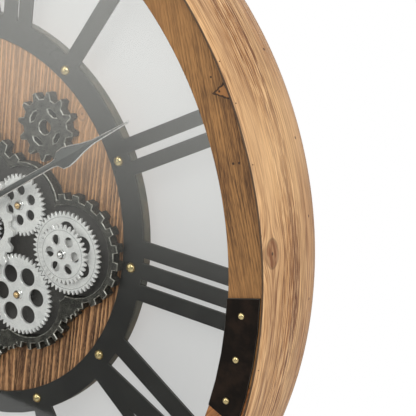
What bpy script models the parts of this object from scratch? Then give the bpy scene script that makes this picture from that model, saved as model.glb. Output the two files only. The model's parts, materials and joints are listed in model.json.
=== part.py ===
"""Open gear wall clock: a deep bentwood drum with a glazed front, a steel numeral
dial, a pine centre disc and a train of turning gears behind the hands.

The wall is the plane y = 0 and the front of the clock faces -Y. The hanger
plate's rear face, where the clock hangs, is at the origin, so the clock's own
axis runs along Y at z = -HANGER_HEIGHT. Sizes are in millimetres and are
turned into metres when a mesh is made.
"""
import math

import bmesh
import bpy
import numpy as np

MM = 0.001
GAP = 0.3                       # clearance left between neighbouring pieces
ROUND_SIDES = 60                # sides of every large circle

# Gear train; the dial and the drum are sized outwards from it
MODULE = 1.3
FINE_ADDENDUM_SHARE = 0.85      # tooth height outside the pitch circle, by the module
FINE_DEDENDUM_SHARE = 1.6       # tooth depth inside the pitch circle, by the module
FINE_TIP_SHARE = 0.18           # tooth width at its tip, as a share of the pitch
FREE_TIP_SHARE = 0.34           # the same on a wheel that meshes with nothing
COARSE_MODULE_SHARE = 3.16      # coarse module by the fine one
COARSE_ADDENDUM_SHARE = 0.57
COARSE_DEDENDUM_SHARE = 0.53
COARSE_TIP_SHARE = 0.31
COARSE_ROOT_SHARE = 0.67        # tooth width at its root, as a share of the pitch
COARSE_PHASE = 1.1
RIGHT_HOLES_DEG = -1.1          # turn of the holes in the wheel at three
WHEEL_TEETH = 48
SMALL_WHEEL_TEETH = 36
FRONT_WHEEL_TEETH = 34
CENTRE_TEETH = 25
CENTRE_WHEEL_TEETH = 57
RIGHT_DISTANCE_SHARE = 3.314103  # clock axis to the wheel at three, by a wheel's radius
LOWER_DISTANCE_SHARE = 2.445513  # clock axis to the lower wheels, by a wheel's radius
WHEEL_THICKNESS = 2.0
COARSE_THICKNESS = 3.1
FRONT_WHEEL_THICKNESS = 1.6
MESH_SLACK = 0.35               # extra distance between the centre wheel and the next
POST_RADIUS = 2.4
POST_SHOULDER_RADIUS = 4.2
POST_MARGIN = 0.1               # how far a journal runs past its hub
HUB_RADIUS = 4.5
RIGHT_HUB_RADIUS = 5.8
HUB_HEIGHT = 2.6
FRONT_HUB_HEIGHT = 2.0
TIP_RADIUS = 2.8
TIP_HEIGHT = 1.7

COARSE_MODULE = MODULE * COARSE_MODULE_SHARE
WHEEL_PITCH_RADIUS = MODULE * WHEEL_TEETH / 2.0
SMALL_PITCH_RADIUS = MODULE * SMALL_WHEEL_TEETH / 2.0
FRONT_PITCH_RADIUS = MODULE * FRONT_WHEEL_TEETH / 2.0
CENTRE_PITCH_RADIUS = COARSE_MODULE * CENTRE_TEETH / 2.0
WHEEL_SPACING = 2.0 * WHEEL_PITCH_RADIUS
SMALL_SPACING = WHEEL_PITCH_RADIUS + SMALL_PITCH_RADIUS
CENTRE_WHEEL_PITCH_RADIUS = MODULE * CENTRE_WHEEL_TEETH / 2.0
CENTRE_SPACING = CENTRE_WHEEL_PITCH_RADIUS + SMALL_PITCH_RADIUS + MESH_SLACK
RIGHT_WHEEL_DISTANCE = WHEEL_PITCH_RADIUS * RIGHT_DISTANCE_SHARE
LOWER_WHEEL_DISTANCE = WHEEL_PITCH_RADIUS * LOWER_DISTANCE_SHARE

# Bezel round the train
WINDOW_CLEARANCE = 4.0          # from a wheel's teeth to its window
SMALL_WINDOW_CLEARANCE = 5.3
CENTRE_WINDOW_CLEARANCE = 9.3064
BASE_PLATE_THICKNESS = 1.6
BASE_PLATE_MARGIN = 3.0         # how far the base plate runs under the bezel
BEZEL_THICKNESS = 8.1
BEZEL_RIM = 5.0                 # from a lower window to the roots of its lobe's teeth
NOTCH_PLACE_SHARE = 0.544872
NOTCH_RADIUS_SHARE = 0.240385
WEB_PLACE_SHARE = 0.721154
WEB_TIP_SHARE = 0.596154
WEB_ROOT_SHARE = 0.519231

FINE_ADDENDUM = MODULE * FINE_ADDENDUM_SHARE
LOBE_OPENING_RADIUS = WHEEL_PITCH_RADIUS + FINE_ADDENDUM + WINDOW_CLEARANCE
SMALL_OPENING_RADIUS = SMALL_PITCH_RADIUS + FINE_ADDENDUM + SMALL_WINDOW_CLEARANCE
CENTRE_OPENING_RADIUS = (CENTRE_PITCH_RADIUS + COARSE_MODULE * COARSE_ADDENDUM_SHARE
                         + CENTRE_WINDOW_CLEARANCE)

# Dial plate and centre disc
RING_CLEARANCE = 6.595          # from the farthest window to the centre ring
RING_WIDTH = 18.2
NUMERAL_LENGTH = 108.0
BAND_WIDTH = 9.5
DIAL_THICKNESS = 1.5
DISC_THICKNESS = 8.0

RING_INNER_RADIUS = RIGHT_WHEEL_DISTANCE + LOBE_OPENING_RADIUS + RING_CLEARANCE
RING_OUTER_RADIUS = RING_INNER_RADIUS + RING_WIDTH
BAND_INNER_RADIUS = RING_OUTER_RADIUS + NUMERAL_LENGTH

# Numerals: text, stroke width, gap and sideways shift, clockwise from one o'clock
NUMERALS = (
    ("I", 13.5, 0.0, 0.7),
    ("II", 10.6, 6.2, 0.0),
    ("III", 12.8, 4.1, 0.0),
    ("IV", 15.5, 0.0, 1.2),
    ("V", 13.0, 0.0, -2.2),
    ("VI", 13.0, 0.0, 0.0),
    ("VII", 12.0, 2.4, 0.0),
    ("VIII", 10.6, 2.6, 0.0),
    ("IX", 13.0, 2.4, 0.0),
    ("X", 13.0, 0.0, 0.0),
    ("XI", 13.0, 2.4, 0.0),
    ("XII", 13.0, 1.8, 0.0),
)
NUMERAL_FOOT_SHARE = 0.72       # how deep a numeral's foot runs into the centre ring
V_FOOT_WIDTH = 18.5
V_TOP_WIDTH = 43.5
X_WIDTH = 52.0
THICK_STROKE = 16.0
THIN_STROKE = 9.5

# Drum and front ring
DRUM_WALL = 23.0
LIP_WALL = 4.3
HOOP_BULGE = 15.0               # how far the wall narrows towards the back
LIP_PROUD = 6.8                 # how far the hoop stands in front of the flat ring
FACE_LAP = 10.0                 # how far the flat ring covers the dial's band
FACE_THICKNESS = 12.0
FACE_SEGMENTS = 6
GLASS_SEAT = 8.0
GLASS_THICKNESS = 3.0
REAR_RING_WIDTH = 9.0

HOOP_BORE_RADIUS = BAND_INNER_RADIUS + BAND_WIDTH
HOOP_MAX_RADIUS = HOOP_BORE_RADIUS + DRUM_WALL
LIP_INNER_RADIUS = HOOP_MAX_RADIUS - LIP_WALL
FACE_INNER_RADIUS = HOOP_BORE_RADIUS - FACE_LAP
GLASS_RADIUS = HOOP_BORE_RADIUS + GLASS_SEAT
REAR_RING_INNER_RADIUS = HOOP_BORE_RADIUS - REAR_RING_WIDTH

# Corner straps over the joints of the flat ring
STRAP_CENTRE_DEG = 92.7
STRAP_INNER_SHARE = 0.141912    # half width at the inner edge, by that edge's radius
STRAP_OUTER_SHARE = 0.157576    # half width at the outer edge, by that edge's radius
STRAP_INSET = 3.7               # from the lip to the strap's outer edge
STRAP_THICKNESS = 1.2
JOINT_OFFSET_DEG = 3.1           # each joint lies under a strap, clear of its nails

STRAP_OUTER_RADIUS = LIP_INNER_RADIUS - STRAP_INSET

# Sprocket ornaments, by the centre ring's inner radius
SPROCKET_X_SHARE = 0.461381
SPROCKET_Z_SHARE = 0.606972
SPROCKET_TIP_SHARE = 0.182502
SPROCKET_TEETH = 12
SPROCKET_THICKNESS = 8.5

SPROCKET_TIP_RADIUS = RING_INNER_RADIUS * SPROCKET_TIP_SHARE
SPROCKET_ROOT_RADIUS = SPROCKET_TIP_RADIUS * 0.8015
SPROCKET_BORE_RADIUS = SPROCKET_TIP_RADIUS * 0.21
SPROCKET_SLOT_CIRCLE = SPROCKET_TIP_RADIUS * 0.494
SPROCKET_SLOT_LENGTH = SPROCKET_TIP_RADIUS * 0.393
SPROCKET_SLOT_WIDTH = SPROCKET_TIP_RADIUS * 0.172

# Hands and their arbors
MINUTE_DEG = 54.0
HOUR_DEG = 304.5
MINUTE_REACH = 33.5             # how far the minute hand passes the centre ring
HOUR_MARGIN = 8.3               # from the hour hand's tip to the centre ring
HAND_THICKNESS = 1.2
HAND_HUB_RADIUS = 7.0
BUSH_RADIUS = 4.0
BUSH_PROUD = 1.4                # how far the bush stands in front of its nut
HOUR_TUBE_RADIUS = 2.6
MINUTE_SHAFT_RADIUS = 1.5
SLEEVE_FLANGE_RADIUS = 9.0
SLEEVE_JOURNAL_RADIUS = 5.5
BUSH_NUT_RADIUS = 7.8
BUSH_NUT_HEIGHT = 2.4
CAP_NUT_RADIUS = 4.6
CAP_NUT_HEIGHT = 4.0

MINUTE_LENGTH = RING_OUTER_RADIUS + MINUTE_REACH
HOUR_LENGTH = RING_INNER_RADIUS - HOUR_MARGIN

# Movement and gear motor behind the disc
CASE_DEPTH = 14.5
MOVEMENT_SIDE = 56.0
MOTOR_CASE_WIDTH = 96.0
MOTOR_CASE_HEIGHT = 62.0
MOTOR_MARGIN = 2.0              # between the movement and the motor
CASE_WALL = 2.0
CELL_RADIUS = 5.25
CELL_LENGTH = 44.5
DOOR_THICKNESS = 1.4
DOOR_LAP = 4.0                  # how far the door covers the bay's rim, each way
SWITCH_TRAVEL = 3.0
SWITCH_WIDTH = 4.0
SWITCH_LENGTH = 6.0
KNOB_RADIUS = 6.0
KNOB_HEIGHT = 1.3

# Wall hanger
HANGER_INSET = 14.0             # from the drum's bore to the middle of the hanger
HANGER_LENGTH = 48.0
HANGER_WIDTH = 20.0
HANGER_THICKNESS = 1.4
KEYHOLE_SPACING = 24.0
KEYHOLE_RADIUS = 4.4
KEYHOLE_NECK = 4.4
KEYHOLE_DROP = 3.5

HANGER_HEIGHT = HOOP_BORE_RADIUS - HANGER_INSET  # from the clock axis up to the origin

# Depths in front of the wall, from the back to the front
TRAIN_RISE = 3.1                # from the bezel to the fine wheels
COARSE_RISE = 0.5               # from the fine wheels to the coarse gears
FRONT_WHEEL_RISE = 3.2          # from the fine wheels to the front wheel
HAND_RISE = 9.2                 # from the coarse gears to the hour hand
HAND_SPACING = 2.2              # from the hour hand to the minute hand
GLASS_CLEARANCE = 9.9           # from the minute hand to the glass

CASE_BACK = HANGER_THICKNESS
CASE_FRONT = CASE_BACK + CASE_DEPTH
REAR_RING_BACK = HANGER_THICKNESS + GAP
DISC_BACK = CASE_FRONT + GAP
DISC_FRONT = DISC_BACK + DISC_THICKNESS
DIAL_BACK = DISC_FRONT + GAP
DIAL_FRONT = DIAL_BACK + DIAL_THICKNESS
BASE_BACK = DISC_FRONT + GAP
BASE_FRONT = BASE_BACK + BASE_PLATE_THICKNESS
BEZEL_BACK = BASE_FRONT + GAP
BEZEL_FRONT = BEZEL_BACK + BEZEL_THICKNESS
WHEEL_BACK = BEZEL_FRONT + TRAIN_RISE
WHEEL_FRONT = WHEEL_BACK + WHEEL_THICKNESS
COARSE_BACK = WHEEL_FRONT + COARSE_RISE
COARSE_FRONT = COARSE_BACK + COARSE_THICKNESS
FRONT_WHEEL_BACK = WHEEL_FRONT + FRONT_WHEEL_RISE
FRONT_WHEEL_FRONT = FRONT_WHEEL_BACK + FRONT_WHEEL_THICKNESS
HOUR_BACK = COARSE_FRONT + HAND_RISE
HOUR_FRONT = HOUR_BACK + HAND_THICKNESS
MINUTE_BACK = HOUR_FRONT + HAND_SPACING
MINUTE_FRONT = MINUTE_BACK + HAND_THICKNESS
GLASS_BACK = MINUTE_FRONT + GLASS_CLEARANCE
GLASS_FRONT = GLASS_BACK + GLASS_THICKNESS
LEDGE_DEPTH = GLASS_BACK - GAP
FACE_BACK = GLASS_FRONT + GAP
FACE_FRONT = FACE_BACK + FACE_THICKNESS
STRAP_BACK = FACE_FRONT + GAP
STRAP_FRONT = STRAP_BACK + STRAP_THICKNESS
HOOP_DEPTH = FACE_FRONT + LIP_PROUD
BORE_RADIUS = POST_RADIUS + GAP
AXIS = (0.0, -HANGER_HEIGHT)


def polar(radius, degrees):
    """Point at a clock angle, clockwise from twelve, seen from the front."""
    angle = math.radians(degrees)
    return (radius * math.sin(angle), radius * math.cos(angle))


def clock_angle(start, end):
    """Clock angle in degrees of the direction from one point to another."""
    return math.degrees(math.atan2(end[0] - start[0], end[1] - start[1]))


def circle(radius, sides, centre=(0.0, 0.0), phase=0.0):
    """Closed loop of points on a circle."""
    points = [polar(radius, phase + 360.0 * i / sides) for i in range(sides)]
    return [(centre[0] + x, centre[1] + z) for x, z in points]


def toothed_loop(teeth, tip_radius, root_radius, tip_share, root_share, centre=(0.0, 0.0)):
    """Outline of a toothed wheel: two points on each tip and two at each root."""
    pitch = 360.0 / teeth
    loop = []
    for k in range(teeth):
        for offset, radius in (
            (-root_share, root_radius),
            (-tip_share, tip_radius),
            (tip_share, tip_radius),
            (root_share, root_radius),
        ):
            x, z = polar(radius, (k + offset / 2.0) * pitch)
            loop.append((centre[0] + x, centre[1] + z))
    return loop


def coarse_gear_loop(teeth):
    """Cast gear outline with flat roots; tooth zero points to twelve."""
    pitch_radius = COARSE_MODULE * teeth / 2.0
    return toothed_loop(teeth, pitch_radius + COARSE_ADDENDUM_SHARE * COARSE_MODULE,
                        pitch_radius - COARSE_DEDENDUM_SHARE * COARSE_MODULE,
                        COARSE_TIP_SHARE, COARSE_ROOT_SHARE)


def fine_gear_loop(teeth, tip_share=FINE_TIP_SHARE):
    """Fine gear outline with narrow or pointed tips and a notch at each root."""
    pitch_radius = MODULE * teeth / 2.0
    tip_radius = pitch_radius + FINE_ADDENDUM
    root_radius = pitch_radius - FINE_DEDENDUM_SHARE * MODULE
    pitch = 360.0 / teeth
    loop = []
    for k in range(teeth):
        loop.append(polar(tip_radius, (k - tip_share / 2.0) * pitch))
        if tip_share > 0.0:
            loop.append(polar(tip_radius, (k + tip_share / 2.0) * pitch))
        loop.append(polar(root_radius, (k + 0.5) * pitch))
    return loop


def mesh_phase(driver, driver_teeth, driver_phase, follower, follower_teeth):
    """Turn of the follower that puts its tooth in the driver's gap, in degrees."""
    contact = clock_angle(driver, follower)
    driver_share = ((contact - driver_phase) * driver_teeth / 360.0) % 1.0
    return contact + 180.0 - (0.5 - driver_share) * 360.0 / follower_teeth


def triangle_point(first, first_radius, second, second_radius, side):
    """Point at given distances from two centres, on one side of their line."""
    dx, dz = second[0] - first[0], second[1] - first[1]
    span = math.hypot(dx, dz)
    along = (first_radius ** 2 - second_radius ** 2 + span ** 2) / (2.0 * span)
    away = side * math.sqrt(max(first_radius ** 2 - along ** 2, 0.0))
    ux, uz = dx / span, dz / span
    return (first[0] + along * ux - away * uz, first[1] + along * uz + away * ux)


def inside_loop(points, loop):
    """Boolean array: which points lie inside a closed loop."""
    start = np.asarray(loop)
    end = np.roll(start, -1, axis=0)
    px = points[:, 0][:, None]
    pz = points[:, 1][:, None]
    crosses = (start[:, 1] > pz) != (end[:, 1] > pz)
    rise = end[:, 1] - start[:, 1]
    rise = np.where(rise == 0.0, 1e-12, rise)
    at = start[:, 0] + (pz - start[:, 1]) * (end[:, 0] - start[:, 0]) / rise
    return (np.sum(crosses & (px < at), axis=1) % 2) == 1


def split_at_crossings(loops):
    """Cut every loop's edges where another loop crosses them."""
    edges = []
    for index, loop in enumerate(loops):
        for i, point in enumerate(loop):
            edges.append((index, point, loop[(i + 1) % len(loop)]))
    owner = np.array([edge[0] for edge in edges])
    start = np.array([edge[1] for edge in edges])
    step = np.array([edge[2] for edge in edges]) - start
    pieces = []
    for i in range(len(edges)):
        offset = start - start[i]
        cross = step[i, 0] * step[:, 1] - step[i, 1] * step[:, 0]
        safe = np.where(np.abs(cross) < 1e-12, np.inf, cross)
        here = (offset[:, 0] * step[:, 1] - offset[:, 1] * step[:, 0]) / safe
        there = (offset[:, 0] * step[i, 1] - offset[:, 1] * step[i, 0]) / safe
        hit = (owner != owner[i]) & (here > 0) & (here < 1) & (there > 0) & (there < 1)
        cuts = np.concatenate(([0.0], np.sort(here[hit]), [1.0]))
        for low, high in zip(cuts[:-1], cuts[1:]):
            if high - low > 1e-9:
                pieces.append((start[i] + low * step[i], start[i] + high * step[i]))
    return pieces


def solid_outline(loops, is_solid):
    """Closed boundary loops of the region where is_solid(points) is true."""
    pieces = split_at_crossings(loops)
    low = np.array([piece[0] for piece in pieces])
    high = np.array([piece[1] for piece in pieces])
    along = high - low
    normal = np.stack([-along[:, 1], along[:, 0]], axis=1)
    normal /= np.linalg.norm(normal, axis=1)[:, None]
    middle = (low + high) / 2.0
    left = is_solid(middle + 0.01 * normal)
    right = is_solid(middle - 0.01 * normal)
    following = {}
    for i in range(len(pieces)):
        if left[i] == right[i]:
            continue
        ends = (low[i], high[i]) if left[i] else (high[i], low[i])
        key = tuple(np.round(ends[0], 4))
        following[key] = (tuple(np.round(ends[1], 4)), tuple(ends[0]))
    outlines = []
    while following:
        first = next(iter(following))
        key = first
        outline = []
        while key in following:
            next_key, point = following.pop(key)
            outline.append(point)
            key = next_key
        outline = merge_short_edges(outline)
        if len(outline) > 2:
            outlines.append(outline)
    return outlines


def signed_area(loop):
    """Area of a loop, positive when it runs anticlockwise."""
    points = np.asarray(loop)
    after = np.roll(points, -1, axis=0)
    return float(np.sum(points[:, 0] * after[:, 1] - after[:, 0] * points[:, 1])) / 2.0


def main_body(loops):
    """The largest outline first, then its holes, without any loose islands."""
    ordered = sorted(loops, key=lambda loop: -abs(signed_area(loop)))
    outer = signed_area(ordered[0])
    return ordered[:1] + [loop for loop in ordered[1:] if signed_area(loop) * outer < 0.0]


def merge_short_edges(loop, shortest=0.12):
    """Drop points that lie closer to the one before than a hair's breadth."""
    kept = [loop[0]]
    for point in loop[1:]:
        if math.dist(point, kept[-1]) > shortest:
            kept.append(point)
    if len(kept) > 1 and math.dist(kept[0], kept[-1]) <= shortest:
        kept.pop()
    return kept


def material(name, colour, roughness, metallic=0.0):
    """Principled material of one finish."""
    made = bpy.data.materials.new(name)
    made.use_nodes = True
    shader = made.node_tree.nodes["Principled BSDF"]
    shader.inputs["Base Color"].default_value = (*colour, 1.0)
    shader.inputs["Roughness"].default_value = roughness
    shader.inputs["Metallic"].default_value = metallic
    made.diffuse_color = (*colour, 1.0)
    return made


def add_object(name, bm, finish, centre=(0.0, 0.0), turn=0.0):
    """Close a bmesh into a named object whose origin is its own axis."""
    bmesh.ops.recalc_face_normals(bm, faces=bm.faces)
    mesh = bpy.data.meshes.new(name)
    bm.to_mesh(mesh)
    bm.free()
    mesh.materials.append(finish)
    mesh.shade_smooth()
    mesh.set_sharp_from_angle(angle=math.radians(30.0))
    made = bpy.data.objects.new(name, mesh)
    made.location = (centre[0] * MM, 0.0, centre[1] * MM)
    made.rotation_euler = (0.0, math.radians(turn), 0.0)
    bpy.context.scene.collection.objects.link(made)
    return made


def raise_loop(bm, loop, depth):
    """Vertices of a loop at a depth in front of the wall."""
    return [bm.verts.new((x * MM, -depth * MM, z * MM)) for x, z in loop]


def join_loops(bm, first, second):
    """Wall of quads between two loops of equal count."""
    count = len(first)
    for i in range(count):
        j = (i + 1) % count
        bm.faces.new((first[i], first[j], second[j], second[i]))


def fill_loops(bm, loops):
    """Flat face between an outer loop and the loops inside it."""
    edges = []
    for loop in loops:
        for i, vert in enumerate(loop):
            edges.append(bm.edges.get((vert, loop[(i + 1) % len(loop)])))
    bmesh.ops.triangle_fill(bm, use_beauty=True, use_dissolve=False, edges=edges)


def add_plate(bm, loops, front, back):
    """Flat plate between two depths, with holes where loops lie inside the first."""
    fronts = [raise_loop(bm, loop, front) for loop in loops]
    backs = [raise_loop(bm, loop, back) for loop in loops]
    for near, far in zip(fronts, backs):
        join_loops(bm, near, far)
    fill_loops(bm, fronts)
    fill_loops(bm, backs)


def plate(name, loops, front, back, finish, centre=(0.0, 0.0), turn=0.0):
    """Object made of one flat plate."""
    bm = bmesh.new()
    add_plate(bm, loops, front, back)
    return add_object(name, bm, finish, centre, turn)


def turned(name, profile, sides, finish, centre=(0.0, 0.0)):
    """Solid of revolution: (radius, depth) points, closed on the axis at both ends."""
    bm = bmesh.new()
    rings = []
    for radius, depth in profile:
        loop = [(0.0, 0.0)] if radius == 0.0 else circle(radius, sides)
        rings.append(raise_loop(bm, loop, depth))
    for first, second in zip(rings[:-1], rings[1:]):
        if len(first) == 1 or len(second) == 1:
            tip, ring = (first[0], second) if len(first) == 1 else (second[0], first)
            for i in range(sides):
                bm.faces.new((tip, ring[i], ring[(i + 1) % sides]))
        else:
            join_loops(bm, first, second)
    for end in (rings[0], rings[-1]):
        if len(end) > 1:
            bm.faces.new(end)
    return add_object(name, bm, finish, centre)


def turned_ring(name, profile, sides, finish):
    """Hollow ring from a closed (radius, depth) section."""
    bm = bmesh.new()
    rings = [raise_loop(bm, circle(radius, sides), depth) for radius, depth in profile]
    for first, second in zip(rings, rings[1:] + rings[:1]):
        join_loops(bm, first, second)
    return add_object(name, bm, finish, AXIS)


def sector(inner, outer, start, end, steps):
    """Loop of a ring sector between two clock angles."""
    outside = [polar(outer, start + (end - start) * i / steps) for i in range(steps + 1)]
    inside = [polar(inner, end + (start - end) * i / steps) for i in range(steps + 1)]
    return outside + inside


def stroke(hour_deg, foot_left, foot_right, top_left, top_right, foot, top):
    """One numeral stroke: a four-sided bar laid out along its hour's radius."""
    angle = math.radians(hour_deg)
    corners = ((foot_left, foot), (foot_right, foot), (top_right, top), (top_left, top))
    return [
        (r * math.sin(angle) + s * math.cos(angle), r * math.cos(angle) - s * math.sin(angle))
        for s, r in corners
    ]


def numeral_strokes(hour, text, bar, gap, shift):
    """Strokes of one Roman numeral, its foot to the centre ring."""
    foot = RING_INNER_RADIUS + RING_WIDTH * NUMERAL_FOOT_SHARE
    top = (BAND_INNER_RADIUS + HOOP_BORE_RADIUS) / 2.0
    widths = {"I": bar, "V": V_TOP_WIDTH, "X": X_WIDTH}
    total = sum(widths[letter] for letter in text) + gap * (len(text) - 1)
    left = shift - total / 2.0
    strokes = []
    for letter in text:
        right = left + widths[letter]
        middle = (left + right) / 2.0
        if letter == "I":
            strokes.append((left, right, left, right))
        elif letter == "V":
            foot_left = middle - V_FOOT_WIDTH / 2.0
            foot_right = middle + V_FOOT_WIDTH / 2.0
            strokes.append((foot_left, foot_right, left, left + THICK_STROKE))
            strokes.append((foot_left + THIN_STROKE, foot_right, right - THIN_STROKE, right))
        else:
            strokes.append((right - THICK_STROKE, right, left, left + THICK_STROKE))
            strokes.append((left, left + THIN_STROKE, right - THIN_STROKE, right))
        left = right + gap
    return [stroke(hour * 30.0, *s, foot, top) for s in strokes]


# Wheel centres relative to the clock axis, each in mesh with the one before
CENTRE = (0.0, 0.0)
RIGHT = (RIGHT_WHEEL_DISTANCE, 0.0)
UPPER = triangle_point(CENTRE, CENTRE_SPACING, RIGHT, SMALL_SPACING, 1.0)
LOWER_RIGHT = triangle_point(CENTRE, LOWER_WHEEL_DISTANCE, RIGHT, WHEEL_SPACING, -1.0)
BOTTOM = triangle_point(CENTRE, LOWER_WHEEL_DISTANCE, LOWER_RIGHT, WHEEL_SPACING, -1.0)
LOWER_LEFT = triangle_point(CENTRE, LOWER_WHEEL_DISTANCE, BOTTOM, WHEEL_SPACING, -1.0)
CHAIN = (RIGHT, LOWER_RIGHT, BOTTOM, LOWER_LEFT)

UPPER_PHASE = 4.0
CENTRE_WHEEL_PHASE = mesh_phase(UPPER, SMALL_WHEEL_TEETH, UPPER_PHASE,
                                CENTRE, CENTRE_WHEEL_TEETH)
RIGHT_PHASE = mesh_phase(UPPER, SMALL_WHEEL_TEETH, UPPER_PHASE, RIGHT, WHEEL_TEETH)
PHASES = [RIGHT_PHASE]
for wheel, neighbour in zip(CHAIN[:-1], CHAIN[1:]):
    PHASES.append(mesh_phase(wheel, WHEEL_TEETH, PHASES[-1], neighbour, WHEEL_TEETH))


def on_axis(point):
    """World place of a point given from the clock axis."""
    return (AXIS[0] + point[0], AXIS[1] + point[1])


def make_finishes():
    """All finishes of the clock, by name."""
    return {
        "hoop_wood": material("hoop_wood", (0.62, 0.39, 0.22), 0.5),
        "face_wood": material("face_wood", (0.30, 0.16, 0.065), 0.55),
        "disc_wood": material("disc_wood", (0.12, 0.055, 0.025), 0.6),
        "black_steel": material("black_steel", (0.018, 0.017, 0.016), 0.45, 0.6),
        "cast_iron": material("cast_iron", (0.06, 0.06, 0.057), 0.5, 0.8),
        "silver": material("silver", (0.68, 0.69, 0.68), 0.35, 0.9),
        "brass": material("brass", (0.62, 0.45, 0.17), 0.3, 1.0),
        "steel": material("steel", (0.45, 0.45, 0.45), 0.3, 1.0),
        "hand_grey": material("hand_grey", (0.07, 0.07, 0.075), 0.35, 0.8),
        "glass": material("glass", (0.85, 0.9, 0.9), 0.05),
        "black_plastic": material("black_plastic", (0.02, 0.02, 0.02), 0.5),
        "battery_sleeve": material("battery_sleeve", (0.03, 0.10, 0.22), 0.4),
    }


def make_hoop(finish):
    """Bentwood drum: bulging outer wall, thin front lip, rebates for ring and glass."""
    outer = (
        (LIP_INNER_RADIUS + LIP_WALL * 0.28, HOOP_DEPTH),
        (HOOP_MAX_RADIUS - HOOP_BULGE * 0.06, HOOP_DEPTH * 0.955),
        (HOOP_MAX_RADIUS, HOOP_DEPTH * 0.58),
        (HOOP_MAX_RADIUS - HOOP_BULGE * 0.173, HOOP_DEPTH * 0.27),
        (HOOP_MAX_RADIUS - HOOP_BULGE * 0.56, HOOP_DEPTH * 0.12),
        (HOOP_MAX_RADIUS - HOOP_BULGE, 0.0),
    )
    inner = (
        (HOOP_BORE_RADIUS, 0.0),
        (HOOP_BORE_RADIUS, LEDGE_DEPTH),
        (GLASS_RADIUS + GAP, LEDGE_DEPTH),
        (GLASS_RADIUS + GAP, FACE_BACK - GAP),
        (LIP_INNER_RADIUS, FACE_BACK - GAP),
    )
    turned_ring("rim_hoop", outer + inner, ROUND_SIDES, finish)


def make_face_segments(finish):
    """Flat front ring of butted wooden segments; the joints lie under the straps."""
    step = 360.0 / FACE_SEGMENTS
    joint = STRAP_CENTRE_DEG + JOINT_OFFSET_DEG
    half_gap = math.degrees(GAP / 2.0 / FACE_INNER_RADIUS)
    outer = LIP_INNER_RADIUS - 2.0 * GAP
    steps = ROUND_SIDES // FACE_SEGMENTS
    for k in range(FACE_SEGMENTS):
        start = joint + (k - 1) * step + half_gap
        loop = sector(FACE_INNER_RADIUS, outer, start, start + step - 2.0 * half_gap, steps)
        plate("face_segment_%d" % (k + 1), [loop], FACE_FRONT, FACE_BACK, finish, AXIS)


def strap_loop(centre_deg):
    """Flared plate with curved long edges that follow the flat ring."""
    inner_half = math.degrees(math.asin(STRAP_INNER_SHARE))
    outer_half = math.degrees(math.asin(STRAP_OUTER_SHARE))
    steps = 4
    inner = [polar(FACE_INNER_RADIUS + GAP, centre_deg + inner_half * (1 - 2 * i / steps))
             for i in range(steps + 1)]
    outer = [polar(STRAP_OUTER_RADIUS, centre_deg - outer_half * (1 - 2 * i / steps))
             for i in range(steps + 1)]
    return outer + inner


def make_straps(finish):
    """Corner straps over the joints of the flat ring."""
    step = 360.0 / FACE_SEGMENTS
    for k in range(FACE_SEGMENTS):
        loop = strap_loop(STRAP_CENTRE_DEG + k * step)
        plate("strap_%d" % (k + 1), [loop], STRAP_FRONT, STRAP_BACK, finish, AXIS)


def make_glass(finish):
    """Front pane, held between the flat ring and the hoop's ledge."""
    loop = circle(GLASS_RADIUS, ROUND_SIDES)
    plate("glass_pane", [loop], GLASS_FRONT, GLASS_BACK, finish, AXIS)


def make_dial(finish):
    """Numeral dial cut from one sheet: centre ring, Roman numerals and outer band."""
    outer = circle(HOOP_BORE_RADIUS - GAP, ROUND_SIDES)
    band = circle(BAND_INNER_RADIUS, ROUND_SIDES, phase=0.7)
    ring = circle(RING_OUTER_RADIUS, ROUND_SIDES, phase=1.3)
    bore = circle(RING_INNER_RADIUS, ROUND_SIDES)
    strokes = []
    for hour, entry in enumerate(NUMERALS, start=1):
        strokes.extend(numeral_strokes(hour, *entry))

    def is_solid(points):
        in_stroke = np.zeros(len(points), dtype=bool)
        for loop in strokes:
            in_stroke |= inside_loop(points, loop)
        sheet = in_stroke | inside_loop(points, ring) | ~inside_loop(points, band)
        return sheet & inside_loop(points, outer) & ~inside_loop(points, bore)

    loops = main_body(solid_outline([outer, band, ring, bore] + strokes, is_solid))
    plate("dial_plate", loops, DIAL_FRONT, DIAL_BACK, finish, AXIS)


def make_disc(finish):
    """Pine centre disc with bores for the movement and the motor shaft."""
    loops = [circle(RING_OUTER_RADIUS, 48)]
    loops.append(circle(BUSH_RADIUS + GAP, 12))
    loops.append(circle(BORE_RADIUS, 8, BOTTOM))
    plate("centre_disc", loops, DISC_FRONT, DISC_BACK, finish, AXIS)


def make_rear_ring(finish):
    """Wooden ring glued inside the drum; it carries the dial and the hanger."""
    front = DIAL_BACK - GAP
    outer = circle(HOOP_BORE_RADIUS - GAP, ROUND_SIDES)
    inner = circle(REAR_RING_INNER_RADIUS, ROUND_SIDES)
    plate("rear_ring", [outer, inner], front, REAR_RING_BACK, finish, AXIS)


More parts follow.
